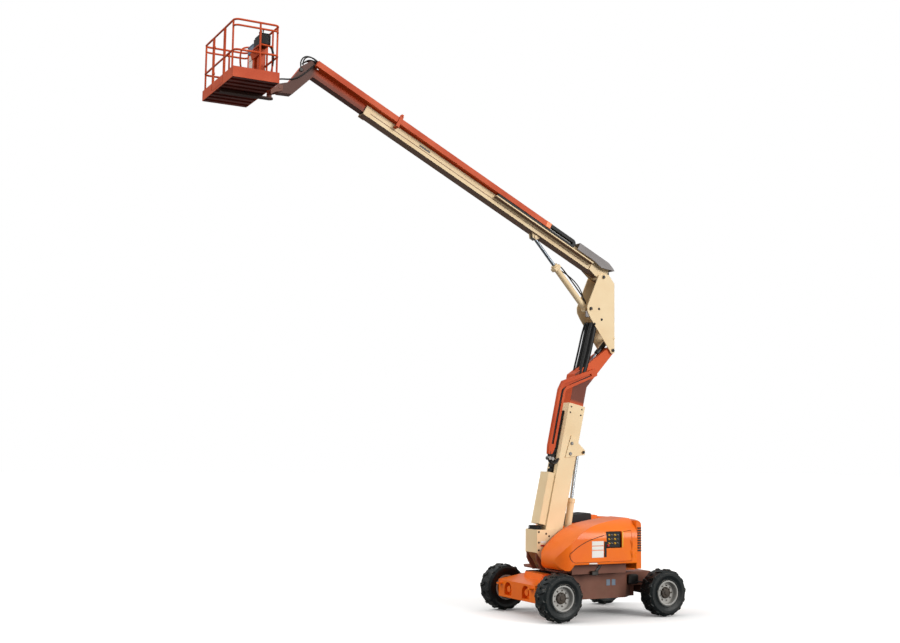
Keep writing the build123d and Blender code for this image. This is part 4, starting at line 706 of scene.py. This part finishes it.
rows = [(x, PANEL_FACE, z) for z in (1.47, 1.55, 1.63) for x in (-0.08, -0.01, 0.06, 0.13)]
bolts("ground_switches", rows[0::2], "turntable", SWITCH_PROFILE, 1.3, sides=12, material=YELLOW)
bolts("ground_toggles", rows[1::2], "turntable", SWITCH_PROFILE, 1.1, sides=12, material=STEEL)
bolts("ground_stop", [(-0.10, PANEL_FACE, 1.43)], "turntable", BUTTON_PROFILE, 1.0, sides=20, material=RED)
window_edge = near_plate(0.213, 0.236, WINDOW_FACE, 1.39, 1.70, 0.0045, 0.002)
piece("window_edge", window_edge, "door_right", YELLOW)
plate_rows = [(1.436, 1.521), (1.352, 1.424), (1.204, 1.340)]
blank_plates = [near_plate(-0.505, -0.230, DOOR_FACE, low, high, edge=0.0012) for low, high in plate_rows]
piece("door_plates", join(*blank_plates), "door_right", WHITE)

# %% [markdown]
# ## Door seal
# A dark line runs round the hood's door: the edge of its rubber seal. It could be drawn by hand, point by point. It is
# read from the door's own mesh instead, so it follows the rim wherever the hood is bent.

# %% Door seal
SKIN_LIMIT = -1.02
NEAR_SHARE = 0.3
SEAL_STANDS_OUT = 0.001


def outer_rim(solid, low_x, high_x, low_z):
    """Points on the rim of a solid's near skin: edges used once among its near-facing triangles, in order round a
    middle."""
    mesh = solid.data
    mesh.calc_loop_triangles()
    spots = np.empty((len(mesh.vertices), 3), np.float32)
    mesh.vertices.foreach_get("co", spots.ravel())
    spots = spots.astype(float)
    corners = np.empty((len(mesh.loop_triangles), 3), np.int32)
    mesh.loop_triangles.foreach_get("vertices", corners.ravel())
    first, second, third = (spots[corners[:, corner]] for corner in range(3))
    facing = np.cross(second - first, third - first)
    near = facing[:, 1] < -NEAR_SHARE * np.linalg.norm(facing, axis=1)
    near &= spots[corners].mean(1)[:, 1] < SKIN_LIMIT
    edges = np.sort(corners[near][:, [[0, 1], [1, 2], [2, 0]]].reshape(-1, 2), axis=1)
    kinds, counts = np.unique(spots[edges].round(5).reshape(-1, 6), axis=0, return_counts=True)
    rim = np.unique(kinds[counts == 1].reshape(-1, 3), axis=0)
    rim = rim[(rim[:, 0] > low_x) & (rim[:, 0] < high_x) & (rim[:, 2] > low_z)]
    turn = np.arctan2(rim[:, 2] - low_z, rim[:, 0] - high_x)
    return rim[np.argsort(turn)]


seam = outer_rim(nodes["hood_door_right"], -1.2, -0.17, 1.14)
seam_strip = carried(rounded_rectangle(0.009, 0.006, 0.002), smooth_path(seam - [0, SEAL_STANDS_OUT, 0], 3))
piece("door_seal", seam_strip, "door_right", BLACK)
print("door seal follows", len(seam), "points of the door's rim")

# %% [markdown]
# ## Handles and plates
# Each hood door has a black handle. Small plates sit on the sill, the tower's mount and the frame, and are left blank.
# All are thin rounded blocks, since a plate that is only a picture has no edge to catch the light.

# %% Handles and plates
SILL_FACE = -1.1003
FRAME_FACE = -0.6205
handle = near_plate(-0.214, -0.166, DOOR_FACE, 1.212, 1.512, 0.014, 0.006)
piece("door_handle", handle, "door_right", PLASTIC)
far_handle = cushion_block((0.34, 1.1000, 1.30), (0.39, 1.1145, 1.48), 0.006)
piece("far_door_handle", far_handle, "door_left", PLASTIC)
sill_plate = near_plate(-0.565, -0.380, SILL_FACE, 1.080, 1.107, 0.0032, 0.0012)
piece("sill_plate", sill_plate, "turntable", WHITE)
piece("mount_plate", near_plate(-1.13, -1.01, MOUNT_FACE, 1.44, 1.48), "turntable", WHITE)
piece("mount_band", near_plate(-1.13, -1.04, MOUNT_FACE, 1.37, 1.405), "turntable", RED)
frame_plates = [near_plate(x, x + 0.09, FRAME_FACE, 0.60, 0.72) for x in (0.17, 0.30)]
piece("frame_plates", join(*frame_plates), "chassis", BLUE_GREY)
print("frame plates", len(frame_plates))

# %% [markdown]
# ## Step, boot and tail slats
# Under the near hood hangs a black folding step on a bent strap. A rubber boot closes the gap between the tower's mount
# and its front cover. The tail has a dark slatted panel, and a valve on the frame feeds the axle through three hoses.
# Ribs and slats are one block moved by equal steps, which keeps them even.

# %% Step, boot and tail slats
def fanned(line, count, radius):
    """Hoses side by side that spread as they run: each point is x, y, z and its step across to the next hose."""
    line = np.array(line, float)
    return [hose(line[:, :3] + np.outer(line[:, 3] * k, [0, 1, 0]), radius) for k in range(count)]


def hoses(name, tubes, body):
    """Hoses or bundles as one piece of black rubber."""
    print(name, len(tubes))
    return piece(name, join(*tubes), body, RUBBER)


STRAP_NEAR = -0.912
strap_line = [(-0.16, 1.06), (-0.20, 1.00), (-0.26, 0.94), (-0.30, 0.88)]
strap_path = smooth_path([(x, STRAP_NEAR, z) for x, z in strap_line], 8)
strap = carried(rounded_rectangle(0.016, 0.060, 0.006), strap_path)
tread_plate = cushion_block((-0.42, -0.985, 0.850), (-0.27, -0.895, 0.935), 0.012)
piece("step", join(strap, tread_plate), "turntable", BLACK)
boot_rib = cushion_block((-1.205, -0.145, 1.702), (-1.055, 0.145, 1.724), 0.008)
boot_ribs = [moved(boot_rib, (0.006 * k, 0, 0.026 * k)) for k in range(3)]
piece("tower_boot", join(*boot_ribs), "turntable", RUBBER)
slat = cushion_block((0.605, -1.088, 0.0), (0.690, -1.072, 0.030), 0.005)
slats = [moved(slat, (0, 0, z)) for z in np.linspace(1.30, 1.74, 10)]
piece("tail_slats", join(*slats), "turntable", BLACK)
valve_box = cushion_block((0.72, -0.615, 0.60), (0.97, -0.47, 0.79), 0.02)
piece("axle_valve", valve_box, "chassis", PLASTIC)
axle_line = [
    (0.86, -0.60, 0.62, 0.05), (1.00, -0.66, 0.66, 0.05), (1.13, -0.64, 0.60, 0.04), (1.17, -0.60, 0.545, 0.04)]
hoses("axle_hoses", fanned(axle_line, 3, 0.013), "chassis")
print("boot ribs", len(boot_ribs), "tail slats", len(slats))

# %% [markdown]
# ## Tower hoses
# Hydraulic hoses are soft tubes: each is a circle carried along a smooth line past a few points. Hoses that stay on one
# section ride on it. A bundle that crosses a pin could bend with bones; here it rides on no body and stays where it
# is drawn.

# %% Tower hoses
def bundle(shifts, line, radii, sides=12):
    """Several hoses side by side: the same line shifted across the machine."""
    return join(*[moved(hose(line, radius, sides), (0, shift, 0)) for shift, radius in zip(shifts, radii)])


CHANNEL_NEAR = 0.215
LINE_NEAR = 0.232
SWIVEL_PROFILE = [(0.0, 0.06), (0.034, 0.06), (0.040, 0.05), (0.040, -0.05), (0.034, -0.06), (0.0, -0.06)]
loop_points = [(1.80, 0.46), (1.68, 0.46), (1.60, 0.42), (1.56, 0.34), (1.60, 0.27), (1.70, 0.235)]
loops = [hose([on_tower(a, b, CHANNEL_NEAR + 0.03 * k) for a, b in loop_points], 0.017) for k in (-1, 0, 1)]
hoses("channel_hoses", loops, "tower_fly")
swivels = [turned(SWIVEL_PROFILE, on_tower(1.66, left, CHANNEL_NEAR), (0, 1, 0), 20) for left in (0.46, 0.39)]
piece("channel_swivels", join(*swivels), "tower_fly", STEEL)
rail_line = [(1.95, 0.452), (3.02, 0.452), (3.13, 0.40), (3.50, -0.15)]
rail_hose = hose([on_tower(along, left, LINE_NEAR) for along, left in rail_line], 0.020)
hoses("channel_line", [rail_hose], "tower_fly")
sleeve_path = [(-0.06, 0, 4.86), (-0.01, 0, 4.98), (0.06, 0, 5.22), (0.14, 0, 5.52), (0.20, 0, 5.78), (0.24, 0, 5.94)]
sleeve = bundle((-0.124, 0.124), sleeve_path, (0.055, 0.055), 16)
thin_path = [(-0.15, 0, 4.84), (-0.12, 0, 4.98), (-0.03, 0, 5.30), (0.05, 0, 5.62), (0.11, 0, 5.82), (0.15, 0, 5.92)]
thin = bundle((-0.158, -0.108, 0.108), thin_path, (0.022, 0.020, 0.020))
upright_hoses = hoses("upright_hoses", [sleeve, thin], None)
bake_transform(upright_hoses)
valves = [
    cushion_block((-0.03, -0.186, 6.02), (0.12, -0.160, 6.15), 0.008),
    cushion_block((0.16, -0.186, 6.36), (0.26, -0.100, 6.50), 0.012),
]
piece("upright_valves", join(*valves), "upright", GREY)
print("swivels", len(swivels), "valves", len(valves))

# %% [markdown]
# ## Boom hoses
# Five hoses turn round the boom's pin, two lie along its lift cylinder, and more rise over the gooseneck to the
# platform. They are made like the tower's. The lift cylinder's are drawn along its own axis, so they lie on the barrel.

# %% Boom hoses
turn_path = [(0.40, 0, 6.42), (0.47, 0, 6.62), (0.58, 0, 6.84), (0.60, 0, 7.02), (0.50, 0, 7.12), (0.36, 0, 7.17)]
turn = bundle((-0.09, -0.045, 0.0, 0.045, 0.09), turn_path, (0.02, 0.018, 0.022, 0.018, 0.02))
turn_hoses = hoses("pivot_hoses", [turn], None)
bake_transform(turn_hoses)
lift_top = pin("boom_rod_pivot")
lift_axis = (lift_top - LIFT_FOOT) / np.linalg.norm(lift_top - LIFT_FOOT)
lift_over = np.array([lift_axis[2], 0, -lift_axis[0]])


def on_lift(line, across):
    """Points along and over the lift cylinder, shifted across the machine."""
    return [LIFT_FOOT + along * lift_axis + over * lift_over + [0, across, 0] for along, over in line]


lift_line = [(0.10, 0.06), (0.22, 0.095), (0.62, 0.10), (0.98, 0.095), (1.10, 0.072)]
slack_line = [(0.12, 0.07), (0.30, 0.19), (0.55, 0.21), (0.80, 0.15), (0.96, 0.085)]
lift_hoses = [hose(on_lift(lift_line, -0.05), 0.014), hose(on_lift(slack_line, 0.03), 0.012)]
hoses("lift_hoses", lift_hoses, "boom_barrel")
gland_block = cushion_block((1.05, -0.082, -0.082), (1.13, 0.082, 0.082), 0.012)
gland_box = in_plane(gland_block, LIFT_FOOT, lift_axis, lift_over, (0, 1, 0))
piece("lift_gland", gland_box, "boom_barrel", CREAM)
apex_paths = [
    [(-5.86, 10.36), (-5.99, 10.45), (-6.13, 10.545), (-6.26, 10.555), (-6.335, 10.47), (-6.34, 10.38)],
    [(-5.88, 10.38), (-6.02, 10.48), (-6.16, 10.575), (-6.30, 10.565), (-6.375, 10.46), (-6.365, 10.34)],
]
apex = [hose([(x, -0.110 + 0.040 * k, z) for x, z in path], 0.013) for k, path in enumerate(apex_paths)]
inner_line = [
    (-5.90, -0.06, 10.39, 0.05), (-6.05, -0.06, 10.49, 0.05), (-6.20, -0.06, 10.52, 0.05), (-6.31, -0.06, 10.44, 0.04)]
apex += fanned(inner_line, 3, 0.013)
hoses("apex_hoses", apex, "boom_fly")
NECK_NEAR = -0.1125
neck_line = [
    (-6.10, 10.42), (-6.20, 10.32), (-6.36, 10.17), (-6.50, 10.09), (-6.62, 10.06), (-6.75, 10.05), (-6.86, 10.02),
    (-6.93, 9.95)]
neck_path = [(x, NECK_NEAR, z) for x, z in neck_line]
neck_hose = hoses("neck_hose", [hose(neck_path, 0.015)], None)
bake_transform(neck_hose)

# %% [markdown]
# ## Boom trim
# At the mouth of the base section sit slide pads and a welded collar, and a seam runs along its side. The push tube has
# a folded edge, a bright end and a guide that holds it to the base section. All are rounded blocks in the boom's own
# axes: along it, up from it and towards the near side.

# %% Boom trim
MOUTH = 6.15
PAD_LOW, PAD_HIGH = MOUTH - 0.010, MOUTH + 0.012
PAD_SIDE, COLLAR_SIDE = 0.1025, 0.124
BOOM_SKIN, SKIN_STRIP = 0.1195, 0.1225
pad_rows = ((0.199, 0.226), (-0.006, 0.019))
pads = [boom_block((PAD_LOW, low, -0.06), (PAD_HIGH, high, 0.06), 0.004) for low, high in pad_rows]
collar = []
for side in (-1, 1):
    pad, plate = side * PAD_SIDE, side * COLLAR_SIDE
    pads.append(boom_block((PAD_LOW, 0.06, pad - 0.006), (PAD_HIGH, 0.16, pad + 0.006), 0.003))
    collar.append(boom_block((MOUTH - 0.13, -0.030, plate - 0.004), (MOUTH - 0.005, 0.248, plate + 0.004), 0.003))
piece("boom_pads", join(*pads), "boom_base", PLASTIC)
piece("boom_collar", join(*collar), "boom_base", CREAM)
seam_bead = boom_block((0.42, 0.052, BOOM_SKIN), (MOUTH - 0.14, 0.064, SKIN_STRIP), 0.001)
piece("boom_seam", seam_bead, "boom_base", SHADE_AND_SEAM_BROWN)
edge_top = boom_block((1.66, 0.200, 0.1270), (7.30, 0.225, 0.1335), 0.001)
edge_low = boom_block((1.66, 0.168, 0.1270), (7.30, 0.202, 0.1300), 0.001)
piece("push_tube_edge", join(edge_top, edge_low), "boom_fly", ORANGE)
tube_end = boom_block((1.60, 0.190, 0.128), (1.72, 0.312, 0.228), 0.006)
piece("push_tube_end", tube_end, "boom_fly", HOOD)
guide_foot = boom_block((5.43, 0.100, 0.1190), (5.50, 0.112, 0.246), 0.003)
guide_side = boom_block((5.43, 0.100, 0.2360), (5.50, 0.345, 0.246), 0.003)
guide_lug = boom_block((5.44, 0.324, 0.150), (5.49, 0.385, 0.246), 0.008)
piece("push_tube_guide", join(guide_foot, guide_side, guide_lug), "boom_base", ORANGE)
# Painted shade: a black plate stands for the dark inside of a hand hole in the base section's side.
hand_hole_shade = boom_block((4.60, 0.088, BOOM_SKIN), (4.86, 0.126, SKIN_STRIP), 0.0012)
piece("hand_hole_shade", hand_hole_shade, "boom_base", BLACK)
print("slide pads", len(pads), "collar plates", len(collar))

# %% [markdown]
# ## Platform controls
# The operator's station stands at the boom side of the platform: an orange post and guard tube, a white document box, a
# ribbed blue-grey control panel and a black control box with joysticks. The words on them are left out. It is seen from
# far off, so rounded blocks and a few turned knobs say enough.

# %% Platform controls
desk_low, desk_high = np.array([-7.250, 0.095, 10.54]), np.array([-7.105, 0.40, 10.69])
documents = cushion_block((-7.250, 0.095, 10.12), (-7.130, 0.34, 10.52), 0.015)
flap = cushion_block((-7.256, 0.11, 10.40), (-7.246, 0.32, 10.47), 0.004)
piece("document_box", join(documents, flap), "platform", WHITE)
desk_top = desk_high[2]
rib = cushion_block((desk_low[0] - 0.004, 0.0, desk_top - 0.012), (desk_high[0], 0.030, desk_top + 0.016), 0.006)
ribs = [moved(rib, (0, y, 0)) for y in np.arange(0.11, 0.38, 0.052)]
piece("control_panel", join(cushion_block(desk_low, desk_high, 0.018), *ribs), "platform", BLUE_GREY)
box = cushion_block((-7.33, -0.56, 10.49), (-7.135, -0.16, 10.69), 0.02)
lid = cushion_block((-7.315, -0.54, 10.69), (-7.15, -0.18, 10.712), 0.008)
piece("control_box", join(box, lid), "platform", PLASTIC)
STICK = [
    (0.0, 0.105), (0.012, 0.100), (0.017, 0.085), (0.011, 0.060), (0.007, 0.030), (0.022, 0.012), (0.028, -0.002)]
sticks = [turned(STICK, (-7.25, y, 10.712), (0, 0, 1), 16) for y in (-0.46, -0.36, -0.26)]
piece("joysticks", join(*sticks), "platform", RUBBER)
stop = turned(BUTTON_PROFILE, (-7.20, 0.33, 10.706), (0, 0, 1), 20)
piece("platform_stop", stop, "platform", RED)
loop_line = [
    (-7.19, 10.22), (-7.30, 10.24), (-7.37, 10.33), (-7.38, 10.56), (-7.35, 10.69), (-7.22, 10.74), (-7.12, 10.72)]
hoop = [
    (-7.12, -0.62, 10.45), (-7.30, -0.62, 10.46), (-7.345, -0.60, 10.47), (-7.35, -0.36, 10.47),
    (-7.345, -0.13, 10.47), (-7.30, -0.11, 10.46), (-7.12, -0.11, 10.45)]
posts = [[(-7.12, y, z) for z in (9.76, 10.30, 10.72)] for y in (-0.13, -0.62)]
guards = [hose(path, 0.017, 12) for path in ([(x, 0.45, z) for x, z in loop_line], *posts, hoop)]
piece("station_frame", join(*guards), "platform", ORANGE)
print("panel ribs", len(ribs), "joysticks", len(sticks), "guard tubes", len(guards))

# %% [markdown]
# ## Rail bends and station hoses
# The platform's second rail is one tube bent round the corners. The solids leave those corners open, so a circle
# carried round a quarter turn closes each. Two hoses hang from the control box.

# %% Rail bends and station hoses
RAIL_ENDS = (-7.9211, -7.0991)
RAIL_SIDE, RAIL_LEVEL, RAIL_BEND = 0.896, 10.6496, 0.09
quarter = np.linspace(0, np.pi / 2, 9)[:, None]


def rail_bend(end, side):
    """A quarter turn that joins the second rail to a corner post: cosine along the machine, sine across it."""
    inward = math.copysign(1.0, sum(RAIL_ENDS) / 2 - end)
    centre = np.array([end + inward * RAIL_BEND, side * (RAIL_SIDE - RAIL_BEND), RAIL_LEVEL])
    arc = np.cos(quarter) * [-inward, 0, 0] + np.sin(quarter) * [0, side, 0]
    return carried(circle(0.018), centre + RAIL_BEND * arc)


bends = [rail_bend(end, side) for end in RAIL_ENDS for side in (-1, 1)]
piece("rail_bends", join(*bends), "platform", ORANGE)
station_line = [
    (-7.16, -0.50, 10.50, -0.03), (-7.13, -0.60, 10.42, -0.04), (-7.12, -0.66, 10.25, -0.04),
    (-7.11, -0.58, 10.05, -0.03), (-7.11, -0.40, 9.86, 0), (-7.11, -0.25, 9.80, 0)]
hoses("station_hoses", fanned(station_line, 2, 0.013), "platform")
print("rail bends", len(bends))

# %% [markdown]
# ## Floor
# The photograph is cut out on white with a soft shadow, and a large pale floor keeps that shadow. To the camera it is
# lifted to the white of the backdrop. The light that it throws back up at the machine is that of a plain grey floor;
# a white one would wash out the undersides.

# %% Floor
PURE_WHITE = (1.0, 1.0, 1.0, 1.0)
FLOOR_GREY = (0.22, 0.22, 0.22, 1.0)
FLOOR_LIFT = 0.06
half = 120.0
mesh = bpy.data.meshes.new("floor")
mesh.from_pydata([(-half, -half, 0), (half, -half, 0), (half, half, 0), (-half, half, 0)], [], [(0, 1, 2, 3)])
material, tree, shader = new_material("floor")
seen = tree.nodes.new("ShaderNodeLightPath").outputs["Is Camera Ray"]
tree.links.new(mixed(tree, seen, FLOOR_GREY, PURE_WHITE), shader.inputs["Base Color"])
tree.links.new(spread(tree, seen, 0.0, 1.0, 0.0, FLOOR_LIFT), shader.inputs["Emission Strength"])
for label, value in (("Roughness", 1.0), ("Specular IOR Level", 0.0), ("Emission Color", PURE_WHITE)):
    shader.inputs[label].default_value = value
mesh.materials.append(material)
floor = placed("floor", mesh)
print("floor", 2 * half, "m wide")

# %% [markdown]
# ## Light
# One broad sun from the camera's right lights the near sides. A weaker one from behind on the left lights the faces
# towards the platform and throws the soft shadow that shows before the machine. A sky that is brighter overhead fills
# the rest, and the camera sees plain white behind it all. Suns can be aimed, and a picture of a sky can't.

# %% Light
SUN_COLOUR = (1.0, 0.98, 0.95)
SKY_LOW, SKY_HIGH, SKY_TOP = 0.28, 0.85, 0.9


def sun(name, source, strength, spread_degrees):
    """A lamp far away that shines from the source towards the origin, with a soft edge to its shadow."""
    lamp = bpy.data.lights.new(name, "SUN")
    lamp.energy = strength
    lamp.angle = math.radians(spread_degrees)
    lamp.color = SUN_COLOUR
    holder = placed(name, lamp)
    holder.matrix_world = Vector(source).to_track_quat("Z", "Y").to_matrix().to_4x4()


sun("sun", (0.45, -1.0, 0.34), strength=2.2, spread_degrees=32)
sun("fill", (-1.0, 0.30, 0.85), strength=1.4, spread_degrees=45)
world = bpy.data.worlds.new("studio")
world.use_nodes = True
tree = world.node_tree
sky = spread(tree, part_of(tree, where(tree, "Generated"), "Z"), 0.0, SKY_TOP, SKY_LOW, SKY_HIGH)
seen = tree.nodes.new("ShaderNodeLightPath").outputs["Is Camera Ray"]
tree.nodes["Background"].inputs["Color"].default_value = PURE_WHITE
tree.links.new(arithmetic(tree, "MAXIMUM", sky, seen), tree.nodes["Background"].inputs["Strength"])
bpy.context.scene.world = world
bpy.context.scene.view_settings.view_transform = "Standard"
print("suns", len(bpy.data.lights), "sky from", SKY_LOW, "to", SKY_HIGH)
